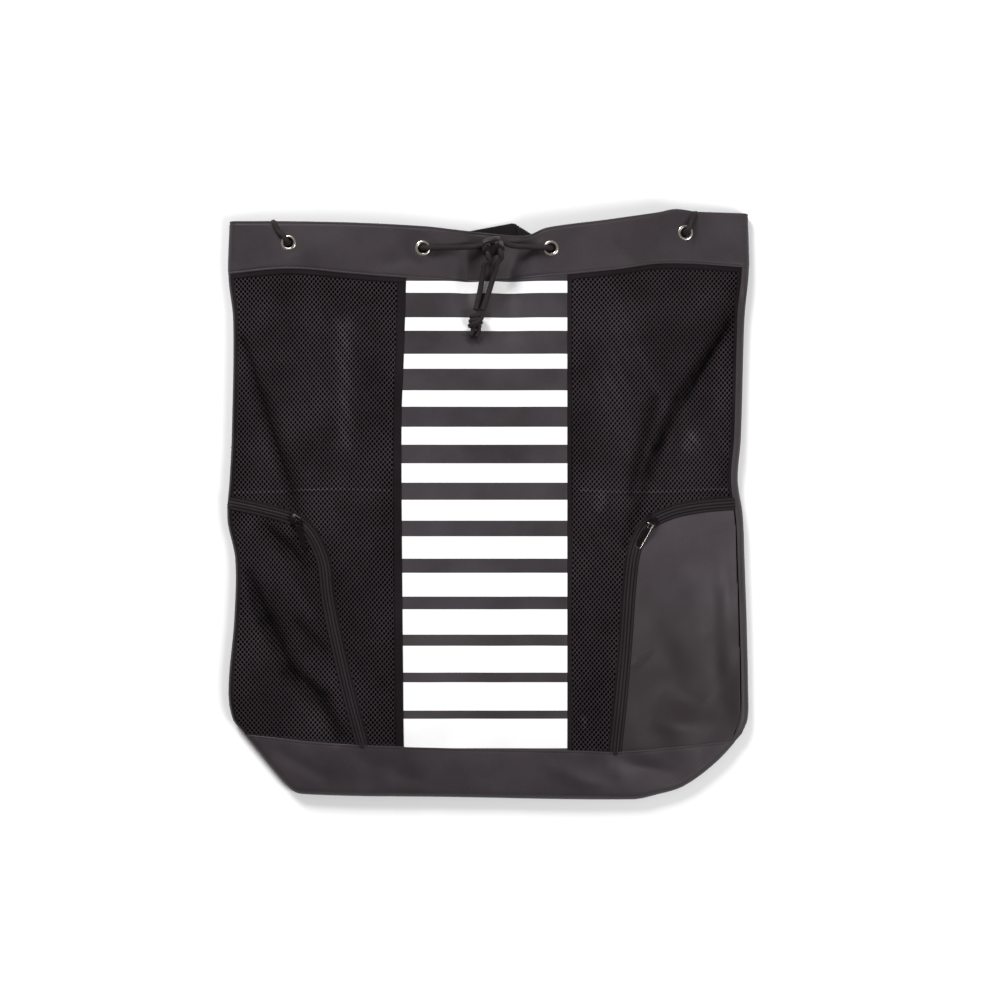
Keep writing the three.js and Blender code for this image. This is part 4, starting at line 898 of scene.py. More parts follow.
def add(tree, kind, **values):
    # a node with its plain values set; a socket is given as the input it comes from
    made = tree.nodes.new(kind)
    for key, value in values.items():
        if hasattr(made, key):
            setattr(made, key, value)
            continue
        at = int(key[2:]) if key.startswith("in") and key[2:].isdigit() else key.replace("_", " ")
        if isinstance(value, bpy.types.NodeSocket):
            tree.links.new(value, made.inputs[at])
        else:
            made.inputs[at].default_value = value
    return made


def mathNode(tree, kind, a, b=0.0, clamp=False):
    return add(tree, "ShaderNodeMath", operation=kind, use_clamp=clamp, in0=a, in1=b).outputs[0]


def times(tree, a, b):
    return mathNode(tree, "MULTIPLY", a, b)


def plus(tree, a, b, clamp=False):
    return mathNode(tree, "ADD", a, b, clamp)


def scaled(tree, vector, factor):
    return add(tree, "ShaderNodeVectorMath", operation="SCALE", in0=vector, Scale=factor).outputs[0]


def dividedPlace(tree, start):
    divide = add(tree, "ShaderNodeVectorMath", operation="DIVIDE", in0=start.outputs["Place"])
    tree.links.new(start.outputs["Size"], divide.inputs[1])
    return divide.outputs[0]


def makeGrain():
    # pebbled skin of a coated cloth: fine cells over slow noise, with the weave under it just showing
    tree, start, end = newGroup("coatGrain", "Size", 1.0, ["Height"])
    place = dividedPlace(tree, start)
    cells = add(tree, "ShaderNodeTexVoronoi", feature="SMOOTH_F1", Vector=place, Scale=1.0, Smoothness=0.6)
    noise = add(tree, "ShaderNodeTexNoise", Vector=place, Scale=0.45, Detail=4.0, Roughness=0.6)
    total = plus(tree, times(tree, cells.outputs["Distance"], 0.6), times(tree, noise.outputs["Fac"], 0.8))
    tree.links.new(total, end.inputs["Height"])
    return tree


def makeWeave():
    # over and under: the product of two waves, one along each thread, brought between 0 and 1
    tree, start, end = newGroup("plainWeave", "Pitch", 1.0, ["Height"])
    parts = add(tree, "ShaderNodeSeparateXYZ", in0=start.outputs["Place"])
    turns = mathNode(tree, "DIVIDE", 2 * math.pi, start.outputs["Pitch"])
    waves = [mathNode(tree, "SINE", times(tree, parts.outputs[k], turns)) for k in (0, 1)]
    height = plus(tree, times(tree, times(tree, *waves), 0.5), 0.5)
    tree.links.new(height, end.inputs["Height"])
    return tree


def makeWear():
    # smudges: slow noise with a soft threshold, and finer specks of dust
    tree, start, end = newGroup("wearMarks", "Size", 60.0, ["Smudge", "Dust"])
    place = dividedPlace(tree, start)
    slow = add(tree, "ShaderNodeTexNoise", Vector=place, Scale=1.0, Detail=3.0)
    fine = add(tree, "ShaderNodeTexNoise", Vector=place, Scale=60.0, Detail=2.0)
    for source, low, high, name in ((slow, 0.4, 0.68, "Smudge"), (fine, 0.62, 0.8, "Dust")):
        spread = add(tree, "ShaderNodeMapRange", in0=source.outputs["Fac"], in1=low, in2=high)
        tree.links.new(spread.outputs[0], end.inputs[name])
    return tree


groups = {"grain": makeGrain(), "weave": makeWeave(), "wear": makeWear()}


def grouped(tree, name, place, **values):
    made = tree.nodes.new("ShaderNodeGroup")
    made.node_tree = groups[name]
    tree.links.new(place, made.inputs["Place"])
    for key, value in values.items():
        made.inputs[key].default_value = value
    return made


def newFinish(name, **fixed):
    # a material with its shader; plain numbers sit on the shader's own sockets
    material = bpy.data.materials.new(name)
    material.use_nodes = True
    tree = material.node_tree
    tree.nodes.clear()
    shader = tree.nodes.new("ShaderNodeBsdfPrincipled")
    out = tree.nodes.new("ShaderNodeOutputMaterial")
    tree.links.new(shader.outputs[0], out.inputs["Surface"])
    for key, value in fixed.items():
        shader.inputs[key.replace("_", " ")].default_value = value
    return material, tree, shader


def placeOf(tree, mapped=False):
    # millimetres: along the cloth where a piece has its own map, or in the frame
    source = tree.nodes.new("ShaderNodeTexCoord")
    if mapped:
        return source.outputs["UV"]
    return scaled(tree, source.outputs["Object"], 1000.0)


def mixColours(tree, factor, a, b):
    mix = tree.nodes.new("ShaderNodeMix")
    mix.data_type = "RGBA"
    if isinstance(factor, bpy.types.NodeSocket):
        tree.links.new(factor, mix.inputs[0])
    else:
        mix.inputs[0].default_value = factor
    for socket, value in ((mix.inputs[6], a), (mix.inputs[7], b)):
        if isinstance(value, bpy.types.NodeSocket):
            tree.links.new(value, socket)
        else:
            socket.default_value = (*value, 1)
    return mix.outputs[2]


def between(tree, value, low, high, first, last):
    spread = add(tree, "ShaderNodeMapRange", in0=value, in1=low, in2=high, in3=first, in4=last)
    return spread.outputs[0]


def surface(tree, shader, colour, rough, height, distance):
    # rough is a socket, or a share and the roughness at its two ends
    if isinstance(rough, tuple):
        share, first, last = rough
        rough = between(tree, share, 0, 1, first, last)
    bump = add(tree, "ShaderNodeBump", Height=height, Distance=distance * mm, Strength=1.0)
    for name, value in (("Base Color", colour), ("Roughness", rough), ("Normal", bump.outputs[0])):
        tree.links.new(value, shader.inputs[name])


# some of these colours are painted light and shade: a pale one for highlights on the net, a near-black one
# for shade, and the pocket's lit and shaded tones
finishSet = {
    "coat": (0.028, 0.0216, 0.0250), "coatLight": (0.039, 0.0308, 0.0355),
    "coatPale": (0.053, 0.0425, 0.0495), "coatDark": (0.0205, 0.0148, 0.0168),
    "lining": (0.003, 0.0025, 0.0027), "dust": (0.12, 0.115, 0.11),
    "panel": (0.045, 0.0375, 0.042), "print": (0.84, 0.84, 0.84), "yarn": (0.0165, 0.0115, 0.0142),
    "yarnLight": (0.042, 0.0315, 0.0375), "sheer": (0.105, 0.085, 0.098), "hem": (0.0065, 0.0045, 0.0055),
    "hemLight": (0.015, 0.0112, 0.0132), "tape": (0.0125, 0.0092, 0.0110),
    "tapeLight": (0.0255, 0.0193, 0.0228), "metal": (0.56, 0.50, 0.45), "metalDull": (0.42, 0.37, 0.33),
    "enamel": (0.0036, 0.0024, 0.0028), "cord": (0.0042, 0.003, 0.0032),
    "cordLight": (0.036, 0.0278, 0.0292), "plastic": (0.0068, 0.0048, 0.0054),
    "sheen": (1.0, 0.86, 0.9, 1.0), "padding": (0.016, 0.0142, 0.0152),
    "paddingLight": (0.028, 0.025, 0.0265), "webbing": (0.005, 0.004, 0.0043),
    "webbingLight": (0.0165, 0.0138, 0.0145), "thread": (0.018, 0.0145, 0.0165),
    "threadLight": (0.028, 0.0235, 0.026),
}
coatSet = {"grain": 0.62, "weave": 1.1, "wear": 70.0, "dustShare": 0.25, "smooth": 0.45, "rough": 0.58,
           "softScale": 0.028, "grainRise": 0.1, "weaveRise": 0.05, "softRise": 1.3, "inkRise": 0.12,
           "inkGloss": -0.04, "fadeBlur": 24.0, "pocketFade": (-20, -150)}


def coatedFinish(name, base, light, gloss=0.22, printed=False, fade=None):
    c = coatSet
    material, tree, shader = newFinish(name, Specular_IOR_Level=gloss)
    place = placeOf(tree)
    grain = grouped(tree, "grain", place, Size=c["grain"]).outputs[0]
    weave = grouped(tree, "weave", place, Pitch=c["weave"]).outputs[0]
    wear = grouped(tree, "wear", place, Size=c["wear"])
    colour = mixColours(tree, wear.outputs["Smudge"], base, light)
    dust = times(tree, wear.outputs["Dust"], c["dustShare"])
    colour = mixColours(tree, dust, colour, finishSet["dust"])
    rough = between(tree, wear.outputs["Smudge"], 0, 1, c["smooth"], c["rough"])
    slow = scaled(tree, place, c["softScale"])
    soft = add(tree, "ShaderNodeTexNoise", Vector=slow, Scale=1.0, Detail=1.2, Roughness=0.45).outputs["Fac"]
    total = plus(tree, times(tree, grain, c["grainRise"]), times(tree, weave, c["weaveRise"]))
    total = plus(tree, total, times(tree, soft, c["softRise"]))
    # painted shade: the colour darkens towards the pocket's bottom over the given heights
    if fade:
        height = add(tree, "ShaderNodeSeparateXYZ", in0=place).outputs[1]
        shade = between(tree, plus(tree, height, times(tree, soft, c["fadeBlur"])), *fade, 0, 1)
        colour = mixColours(tree, shade, colour, finishSet["coatDark"])
    if printed:
        ink = printMask(tree, place, printSet)
        colour = mixColours(tree, ink, colour, finishSet["print"])
        rough = plus(tree, rough, times(tree, ink, c["inkGloss"]))
        total = plus(tree, total, times(tree, ink, c["inkRise"]))
    surface(tree, shader, colour, rough, total, 1.0)
    return material


# print on the centre panel: plain cross bars, thin near the mouth and thick near the base
printSet = {"top": 236, "bottom": -246, "bars": 13, "thin": 0.3, "thick": 0.82}


def printMask(tree, place, s):
    parts = add(tree, "ShaderNodeSeparateXYZ", in0=place)
    down = between(tree, parts.outputs[1], s["top"], s["bottom"], 0, 1)
    down.node.clamp = False
    share = mathNode(tree, "FRACT", times(tree, down, s["bars"]))
    cover = between(tree, down, 0, 1, s["thin"], s["thick"])
    fromMiddle = mathNode(tree, "ABSOLUTE", mathNode(tree, "SUBTRACT", share, 0.5))
    bar = mathNode(tree, "LESS_THAN", fromMiddle, times(tree, cover, 0.5))
    inside = [mathNode(tree, "GREATER_THAN", down, 0.0), mathNode(tree, "LESS_THAN", down, 1.0)]
    return times(tree, bar, times(tree, *inside))


def yarnFinish(name, dark, light, pitch, gloss=0.15, sheer=False):
    material, tree, shader = newFinish(name, Specular_IOR_Level=gloss)
    place = placeOf(tree)
    weave = grouped(tree, "weave", place, Pitch=pitch).outputs[0]
    smudge = grouped(tree, "wear", place, Size=62.0).outputs["Smudge"]
    # the tone is lighter on the weave's raised threads, a painted highlight, and in slow patches of the
    # yarn's own tone
    tint = plus(tree, times(tree, weave, 0.35), times(tree, smudge, 0.75), True)
    colour = mixColours(tree, tint, dark, light)
    if sheer:
        # the net's mark: painted highlight above zero, painted shade below
        mark = tree.nodes.new("ShaderNodeAttribute")
        mark.attribute_name = "sheer"
        lit = mathNode(tree, "MAXIMUM", mark.outputs["Fac"], 0.0)
        dim = times(tree, mathNode(tree, "MINIMUM", mark.outputs["Fac"], 0.0), -1.0)
        colour = mixColours(tree, lit, colour, finishSet["sheer"])
        colour = mixColours(tree, dim, colour, finishSet["lining"])
    surface(tree, shader, colour, (smudge, 0.58, 0.46), weave, 0.16)
    return material


def tapeFinish():
    # woven tape with a moulded coil down its middle; its raised threads are lighter as a painted highlight,
    # and painted shade darkens the gaps between coil and tapes and the turned edges
    material, tree, shader = newFinish("zipWeave", Specular_IOR_Level=0.12)
    place = placeOf(tree, mapped=True)
    parts = add(tree, "ShaderNodeSeparateXYZ", in0=place)
    half = zipSet["width"] / 2
    middle = mathNode(tree, "ABSOLUTE", mathNode(tree, "SUBTRACT", parts.outputs[0], half))
    weave = grouped(tree, "weave", place, Pitch=0.9).outputs[0]
    tape = mixColours(tree, weave, finishSet["tape"], finishSet["tapeLight"])
    dark = 0.0
    for at, reach in ((0.0, 0.75), (zipSet["coilHalf"] + zipSet["coilGap"], 0.8), (half, 0.9)):
        away = mathNode(tree, "ABSOLUTE", mathNode(tree, "SUBTRACT", middle, at))
        away = mathNode(tree, "DIVIDE", away, reach)
        dark = mathNode(tree, "MAXIMUM", mathNode(tree, "SUBTRACT", 1.0, away), dark)
    # painted shade in the grooves and at the turned edges
    colour = mixColours(tree, between(tree, dark, 0, 0.6, 0, 0.9), tape, finishSet["lining"])
    coil = mathNode(tree, "LESS_THAN", middle, zipSet["coilHalf"] + 0.3)
    surface(tree, shader, colour, (coil, 0.75, 0.42), weave, 0.14)
    return material


sheathSet = {"threads": 8, "pitch": 1.7}


def cordFinish(s):
    # plaited sheath: helical ribs both ways round the cord, with a painted highlight on the tops of the
    # threads
    material, tree, shader = newFinish("plaitedCord", Specular_IOR_Level=0.16)
    place = placeOf(tree, mapped=True)
    parts = add(tree, "ShaderNodeSeparateXYZ", in0=place)
    turned = times(tree, parts.outputs[0], 2 * math.pi * s["threads"])
    along = times(tree, parts.outputs[1], 2 * math.pi / s["pitch"])
    first = mathNode(tree, "SINE", plus(tree, turned, along))
    second = mathNode(tree, "SINE", mathNode(tree, "SUBTRACT", turned, along))
    ribs = between(tree, times(tree, first, second), -1, 1, 0, 1)
    smudge = grouped(tree, "wear", placeOf(tree), Size=12.0).outputs["Smudge"]
    colour = mixColours(tree, ribs, finishSet["cord"], finishSet["cordLight"])
    surface(tree, shader, colour, (smudge, 0.6, 0.8), ribs, 0.22)
    return material


def metalFinish():
    material, tree, shader = newFinish("brightNickel", Metallic=1.0)
    place = placeOf(tree)
    wear = grouped(tree, "wear", place, Size=3.0)
    smudge = wear.outputs["Smudge"]
    colour = mixColours(tree, smudge, finishSet["metal"], finishSet["metalDull"])
    surface(tree, shader, colour, (smudge, 0.2, 0.36), wear.outputs["Dust"], 0.03)
    return material


def hardFinish(name, colour, rough, size, **more):
    # moulded or enamelled: an even colour with handling marks and a faint texture
    material, tree, shader = newFinish(name, **more)
    place = placeOf(tree)
    smudge = grouped(tree, "wear", place, Size=size).outputs["Smudge"]
    grain = grouped(tree, "grain", place, Size=0.35).outputs[0]
    lighter = tuple(c * 1.6 + 0.002 for c in colour)
    shader.inputs["Specular Tint"].default_value = finishSet["sheen"]
    colour = mixColours(tree, times(tree, smudge, 0.5), colour, lighter)
    surface(tree, shader, colour, (smudge, rough, rough + 0.12), grain, 0.03)
    return material


def ribbedFinish(name, dark, light, acrossPitch, alongPitch, depth):
    # webbing: ribs across the band, offset from one warp thread to the next, with a painted highlight on the
    # raised ribs
    material, tree, shader = newFinish(name, Specular_IOR_Level=0.15)
    place = placeOf(tree, mapped=True)
    parts = add(tree, "ShaderNodeSeparateXYZ", in0=place)
    warp = mathNode(tree, "SINE", times(tree, parts.outputs[0], 2 * math.pi / acrossPitch))
    along = times(tree, parts.outputs[1], 2 * math.pi / alongPitch)
    offset = times(tree, mathNode(tree, "SIGN", warp), math.pi / 2)
    weft = mathNode(tree, "SINE", plus(tree, along, offset))
    height = between(tree, plus(tree, times(tree, warp, 0.5), weft), -1.5, 1.5, 0, 1)
    smudge = grouped(tree, "wear", placeOf(tree), Size=20.0).outputs["Smudge"]
    surface(tree, shader, mixColours(tree, height, dark, light), (smudge, 0.65, 0.8), height, depth)
    return material


finish = {
    "coat": coatedFinish("coatedCloth", finishSet["coat"], finishSet["coatLight"]),
    "panel": coatedFinish("printedPanel", finishSet["panel"], finishSet["coat"], printed=True),
    "net": yarnFinish("netYarn", finishSet["yarn"], finishSet["yarnLight"], 1.1, sheer=True),
    "hem": yarnFinish("knitHem", finishSet["hem"], finishSet["hemLight"], 1.6, 0.06),
    "tape": tapeFinish(),
    "cord": cordFinish(sheathSet),
    "nickel": metalFinish(),
    "enamel": hardFinish("blackEnamel", finishSet["enamel"], 0.26, 9.0, Specular_IOR_Level=0.2),
    "plastic": hardFinish("mouldedPlastic", finishSet["plastic"], 0.34, 8.0, Specular_IOR_Level=0.35),
    "padding": yarnFinish("spacerKnit", finishSet["padding"], finishSet["paddingLight"], 2.4),
    # the pocket: a paler copy of the coated cloth as painted light at its top, with painted shade lower down
    "pocket": coatedFinish("pocketCloth", finishSet["coatPale"], finishSet["coatLight"],
                           fade=coatSet["pocketFade"]),
    # near-black painted shade for the inside of the bag
    "lining": coatedFinish("innerCoat", finishSet["lining"], finishSet["lining"], 0.03),
    "webbing": ribbedFinish("wovenWebbing", finishSet["webbing"], finishSet["webbingLight"], 2.2, 1.3, 0.25),
    "thread": yarnFinish("sewingThread", finishSet["thread"], finishSet["threadLight"], 0.6),
}
for piece in (*cordEnds.values(), knot, knotCross, *tails, *frayed):
    piece.data.materials.append(finish["cord"])
print("finishes made")

# the bag itself


def addWall(name, made, slot, replaces, material):
    points, faces, marks = made
    return addPiece(name, points, faces, slot, replaces, uv=marks, material=finish[material])


addWall("collarCloth", collarPiece(collarSet), "coated_cloth", ["collar"], "coat")
addWall("baseCloth", basePiece(baseSet), "coated_cloth", ["base"], "coat")
backCloth = addWall("backCloth", backPiece(backSet), "coated_cloth", ["back_panel"], "coat")
backCloth.data.materials.append(finish["lining"])
# its inner faces get the near-black painted shade of the bag's inside: of a sheet of r by c cells, faces r c
# to 2 r c; 2 (r + c) more close its edges
faceCount = len(backCloth.data.polygons)
rowCells = len(backRows(backSet)) - 1
sheetCells = rowCells * ((faceCount - 2 * rowCells) // (2 * rowCells + 2))
shadedInside = np.zeros(faceCount, int)
shadedInside[sheetCells:2 * sheetCells] = 1
backCloth.data.polygons.foreach_set("material_index", shadedInside)
addWall("centrePanel", panelPiece(panelSet), "panel_cloth", ["center_panel"], "panel")
addWall("pocketRight", rightPocket(pocketSet), "coated_cloth", ["pocket_right"], "pocket")
for side in ("left", "right"):
    nodes = [f"zip_tape_{side}", f"zip_chain_{side}"]
    addWall(camel(f"zip_{side}"), zipPiece(side, zipSet), "zip_cloth", nodes, "tape")
print("coated cloth and zips made")

# painted light and shade on the net: start, end, width and strength; above zero a painted highlight where
# the net catches the light, below zero painted shade along a fold
netLightShadeSpots = [
    (-246, 167, -187, -16, 4, -0.55), (-222, 110, -196, 20, 8, -0.22), (254, 207, 170, 57, 4, -0.6),
    (170, 57, 137, -40, 5, -0.55), (247, 187, 190, 107, 5, -0.45), (190, 107, 157, 30, 5, -0.5),
    (166, 105, 143, 11, 5, -0.45), (-241, -71, -222, -116, 8, -0.6), (-222, -116, -198, -167, 10, -0.65),
    (-198, -167, -166, -191, 9, -0.6), (-166, -191, -150, -230, 8, -0.55),
    (-189, -119, -166, -144, 8, -0.5), (-223, -23, -184, -61, 9, -0.45),
    (-110, -60, -105, -230, 45, -0.2), (92, -40, 96, -230, 34, -0.32), (215, 140, 190, 40, 14, -0.2),
    (-143, 178, -143, 62, 9, 0.42), (-170, 190, -180, 120, 22, 0.12), (203, 66, 200, 60, 7, 0.6),
    (190, 95, 206, 62, 14, 0.22), (112, 8, 111, -2, 5, 0.5), (120, 120, 140, 60, 18, 0.2),
    (136, 190, 120, 120, 20, 0.16), (95, -214, 96, -220, 5, 0.55), (150, 150, 176, 90, 12, 0.16),
    (-230, 60, -200, 30, 16, 0.14), (-110, -60, -104, -150, 12, 0.12), (232, 160, 236, 60, 9, 0.16),
    (-205, -76, -180, -108, 9, 0.2), (-236, -20, -200, -30, 9, 0.16), (100, -60, 104, -130, 11, 0.12),
    (-90, 150, -84, 40, 12, 0.1),
]


def netLightShadeAt(x, y):
    # bells of painted light and shade across short lines, and a thin painted highlight along the storage
    # crease
    over, shown = overStorage(x, y)
    total = storageCrease["sheen"] * bell(over, storageCrease["sheenWidth"]) * shown
    for *ends, width, strength in netLightShadeSpots:
        _, away = fromSegment(x, y, *ends)
        total = total + strength * bell(away, width) * (0.8 + 0.2 * np.sin(x / 2.3 + y / 5.1))
    return np.clip(total, -0.8, 0.9)


netAreas = {
    "netLeft": ((-262, -70), (-250, 240), inMesh("left"), "mesh_left"),
    "netRight": ((70, 262), (-250, 240), inMesh("right"), "mesh_right"),
    "netPocket": ((-262, -115), (-262, 12), inLeftPocket, "pocket_left"),
}
for name, (xRange, yRange, insideAt, node) in netAreas.items():
    points, faces = netPiece(name, xRange, yRange, insideAt, netSet)
    net = addPiece(name, points, faces, "mesh_cloth", [node], smooth=False, material=finish["net"])
    # the net's painted light and shade, one value at each point
    mark = net.data.attributes.new("sheer", "FLOAT", "POINT")
    mark.data.foreach_set("value", netLightShadeAt(points[:, 0], points[:, 1]).astype(np.float32))


# hems: plain knitted bands that edge the mesh along the collar, the centre panel and the side seams

hemSet = {"zip": 1.6, "zipUnder": 2, "collar": 6.0, "panelLeft": 8.5, "panelRight": 4.5, "side": 4.0,
          "leftSeam": 1.2, "rightSeam": 6.6, "lift": -0.2, "thickness": 0.6}


def hemOf(name, node, sides, ends, counts, at=(-0.415, 0.385)):
    # a strip between two long edges and two cross edges, of so many columns and rows
    columns, rows = (np.linspace(0, 1, count) for count in counts)
    x, y = betweenLines(*sides, *ends, columns, rows, at)
    points = frontGrid(x, y, np.full(x.shape, hemSet["lift"]))
    made = wallOf(points, np.full(points.shape[:2], hemSet["thickness"]), u=np.arange(len(columns)) * 2.0,
                  v=np.arange(len(rows)) * 2.0)
    addWall(name, made, "mesh_cloth", [node], "hem")


def besideZip(side, s):
    # a plain strip of the knit along the mesh side of the zip
    line = insideSeams(evenly(zipCurves[side], 2.0), 1, 6, -2)
    edge = zipSet["width"] / 2
    w = np.linspace(edge - s["zipUnder"], edge + s["zip"], 8)
    x, y = besideLine(line, np.sort(-w if side == "left" else w))
    points = frontGrid(x, y, np.full(x.shape, s["lift"]))
    made = wallOf(points, np.full(points.shape[:2], s["thickness"]))
    addWall(camel(f"hem_zip_{side}"), made, "mesh_cloth", [f"mesh_{side}"], "hem")


panelEnds = over("baseSeam", -1.5), over("collarSeam", 1)
collarEnds = over("collarSeam", -hemSet["collar"]), over("collarSeam", 1.5)
meshHems = {  # the long edges of the hems beside the centre panel and under the collar
    "left": [(beside("panelLeft", -hemSet["panelLeft"]), beside("panelLeft", 1)),
             (beside("left", 1.5), beside("panelLeft", 0.5))],
    "right": [(beside("panelRight", -1), beside("panelRight", hemSet["panelRight"])),
              (beside("panelRight", -0.5), beside("right", -6))],
}
for side, (panelSides, collarSides) in meshHems.items():
    node = f"mesh_{side}"
    hemOf(camel(f"hem_panel_{side}"), node, panelSides, panelEnds, (5, 220))
    hemOf(camel(f"hem_collar_{side}"), node, collarSides, collarEnds, (90, 6), (0.375, 0.39))
    besideZip(side, hemSet)
leftSides = beside("left", hemSet["leftSeam"]), beside("left", hemSet["leftSeam"] + hemSet["side"])
rightSides = beside("right", -hemSet["rightSeam"] - hemSet["side"]), beside("right", -hemSet["rightSeam"])
upperEnds, lowerEnds = (level(8.0), over("collarSeam", 1)), (over("baseSeam", -1), level(2.0))
hemOf("hemSideLeft", "mesh_left", leftSides, upperEnds, (4, 110), (0.013, 0.385))
hemOf("hemSideRight", "mesh_right", rightSides, upperEnds, (4, 110), (0.013, 0.385))
hemOf("hemSidePocket", "pocket_left", leftSides, lowerEnds, (4, 110), (-0.39, 0.003))
print("nets and hems made")

# small metal and moulded parts


def spun(profile, sides):
    # a closed profile of radius and height turned round the upright: a ring with no poles
    p = np.asarray(profile, float)
    a = np.linspace(0, 2 * np.pi, sides, endpoint=False)[:, None]
    n = len(p)
    heights = np.broadcast_to(p[:, 1], (sides, n))
    points = np.stack([p[:, 0] * np.cos(a), p[:, 0] * np.sin(a), heights], 2)
    i, j = np.meshgrid(np.arange(sides), np.arange(n), indexing="ij")
    i, j = i.ravel(), j.ravel()
    here, after, up = i * n, ((i + 1) % sides) * n, (j + 1) % n
    return points.reshape(-1, 3), np.stack([here + j, after + j, after + up, here + up], 1)


eyeletSet = {"hole": cordSet["hole"], "flange": cordSet["flange"], "metal": cordSet["eyeletMetal"],
             "crown": 1.35, "sides": 56, "seat": 0.3}


def eyeletProfile(s):
    # a rolled rim above the cloth, a barrel through it, and a flatter rim under it
    low = -bag["wall"] - s["seat"] - s["metal"]
    a = np.linspace(0, np.pi, 13)
    middle, half = (s["flange"] + s["hole"]) / 2, (s["flange"] - s["hole"]) / 2
    over = np.stack([middle + half * np.cos(a), s["seat"] + s["crown"] * np.sin(a) ** 0.8], 1)
    b = np.linspace(0, np.pi, 9)
    under = np.stack([middle - half * np.cos(b), low + s["metal"] * (1 - np.sin(b) ** 0.8)], 1)
    barrel = np.array([(s["hole"] + 0.7, low + s["metal"]), (s["hole"] + 0.7, s["seat"])])
    return np.vstack([over, [(s["hole"] - 0.05, -0.6)], under, barrel])


for name, face, x, y in eyelets:
    pose = clothPose(face, x * bag["width"], y * bag["height"], eyeletSet["flange"])
    points, faces = spun(eyeletProfile(eyeletSet), eyeletSet["sides"])
    addPiece(camel(name), onto(pose, points), faces, "nickel", [name], material=finish["nickel"])


def polished(node, body, material, bevel, segments=2, edge=None):
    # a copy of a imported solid, its doubled points merged and its edges rounded
    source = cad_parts[node]
    mesh = source.data.copy()
    work = bmesh.new()
    work.from_mesh(mesh)
    bmesh.ops.remove_doubles(work, verts=work.verts, dist=1e-5)
    bmesh.ops.dissolve_limit(work, angle_limit=math.radians(1), verts=work.verts, edges=work.edges)
    work.to_mesh(mesh)
    work.free()
    mesh.materials.clear()
    mesh.materials.append(finish[material])
    mesh.polygons.foreach_set("use_smooth", np.ones(len(mesh.polygons), bool))
    piece = bpy.data.objects.new(camel(f"{node}_piece"), mesh)
    bpy.context.scene.collection.objects.link(piece)
    rounder = piece.modifiers.new("roundedEdges", "BEVEL")
    rounder.width, rounder.segments = bevel * mm, segments
    rounder.limit_method, rounder.angle_limit = "ANGLE", math.radians(28)
    rounder.harden_normals = True
    if edge:
        mesh.materials.append(finish[edge])
        rounder.material = 1
    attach(piece, body)
    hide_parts(node)
    return piece


polished("cord_lock_body", "bag", "plastic", 0.55, 3)
polished("cord_lock_button", "button", "plastic", 0.5, 3)
for side in ("left", "right"):
    # the left slider is dark all over; on the right one the enamel has worn off the edges
    worn = "nickel" if side == "right" else None
    polished(f"zip_slider_{side}", "bag", "enamel", 0.2, 2)
    polished(f"zip_pull_{side}", f"pull_{side}", "enamel", 0.42, 3, worn)
    polished(f"strap_buckle_{side}", "bag", "plastic", 0.4, 3)
print("metal and moulded parts made")

# drawcord: through the six eyelets and the lock, both ends at the lock's mouths

outside, wall = cordRadius + bag["gap"], bag["wall"]
inside = -(wall + bag["gap"] + cordRadius)
overFlange = outside + 3 * bag["gap"] + 1.5 * cordSet["eyeletMetal"]
underFlange = inside - 2 * bag["gap"] - cordSet["eyeletMetal"]


# distances from the eyelet's middle, the cord's dip beside the rim, and its reach inside the hole
passSet = {"far": 8, "rim": 3.6, "hole": 0.9, "dip": 0.2, "reach": 0.55}


def eyeletPass(index, fromX, fromY, toX, toY, startsOutside, s=passSet):
    # from one side of the cloth, over the rim, through the hole and away on the other side
    _, face, x, y = eyelets[index]
    pose = clothPose(face, x * bag["width"], y * bag["height"], eyeletSet["flange"])
    start, end = (overFlange, underFlange) if startsOutside else (underFlange, overFlange)
    middle = -wall / 2
    halves = []
    for wayX, wayY, z in ((fromX, fromY, start), (toX, toY, end)):
        wayY = wayY if face == "front" else -wayY
        halves.append([(wayX * s["far"], wayY * s["far"], z),
                       (wayX * s["rim"], wayY * s["rim"], z - np.sign(z) * s["dip"]),
                       (wayX * s["hole"], wayY * s["hole"], middle + (z - middle) * s["reach"])])
    return list(onto(pose, halves[0] + halves[1][::-1]))


drawcordRoute = [
    inLock(-holeX, 0, mouthZ), inLock(-holeX, 0, -3),
    inLock(-holeX - 0.8, -0.2, -5.8), inLock(-holeX - 3.4, -0.6, -7.6),
    above(-12, 257, outside + 2), above(-32, 256.5, outside + 0.6),
    *eyeletPass(1, 1, 0, -1, 0, True),
    above(-104, 258, inside - 1), above(-150, 261, inside - 1),
    *eyeletPass(0, 1, 0, -0.56, 0.83, False),
    above(-209, 273, outside + 0.6),
    *np.array([(-213.5, 281, 23.5), (-215.3, 283.5, 14.5), (-214, 281, 5)]),
    below(-209, 276, outside + 0.4),
    *eyeletPass(4, -0.5, 0.86, 1, 0, True),
    below(-150, 261, inside - 1), below(-60, 260, inside),
    below(60, 262, inside), below(150, 265, inside - 1),
    *eyeletPass(5, -1, 0, 0.5, 0.86, False),
    below(203.5, 285, outside + 0.4),
    *np.array([(207, 289.5, 5), (208.3, 292, 14.5), (206.5, 290, 23.5)]),
    above(203, 282, outside + 0.6),
    *eyeletPass(3, 0.56, 0.83, -1, -0.1, True),
    above(150, 266, inside - 1), above(104, 259, inside - 1),
    *eyeletPass(2, 1, 0, -1, 0, False),
    above(42, 257, outside), above(24, 258.5, outside + 0.6),
    inLock(holeX + 3.4, -0.6, -7.6), inLock(holeX + 0.8, -0.2, -5.8),
    inLock(holeX, 0, -3), inLock(holeX, 0, mouthZ),
]
drawLine = curveThrough(drawcordRoute, 0.9)
addTube("drawcordRun", drawLine, cordRadius, 32, "cord", around=plait(cordRadius + endSet["proud"]),
        replaces=["drawcord"], material=finish["cord"])
print(f"drawcord made, {runOf(drawLine)[-1]:.0f} mm")

# grab loop: a band folded over itself along a slanting crease behind the mouth

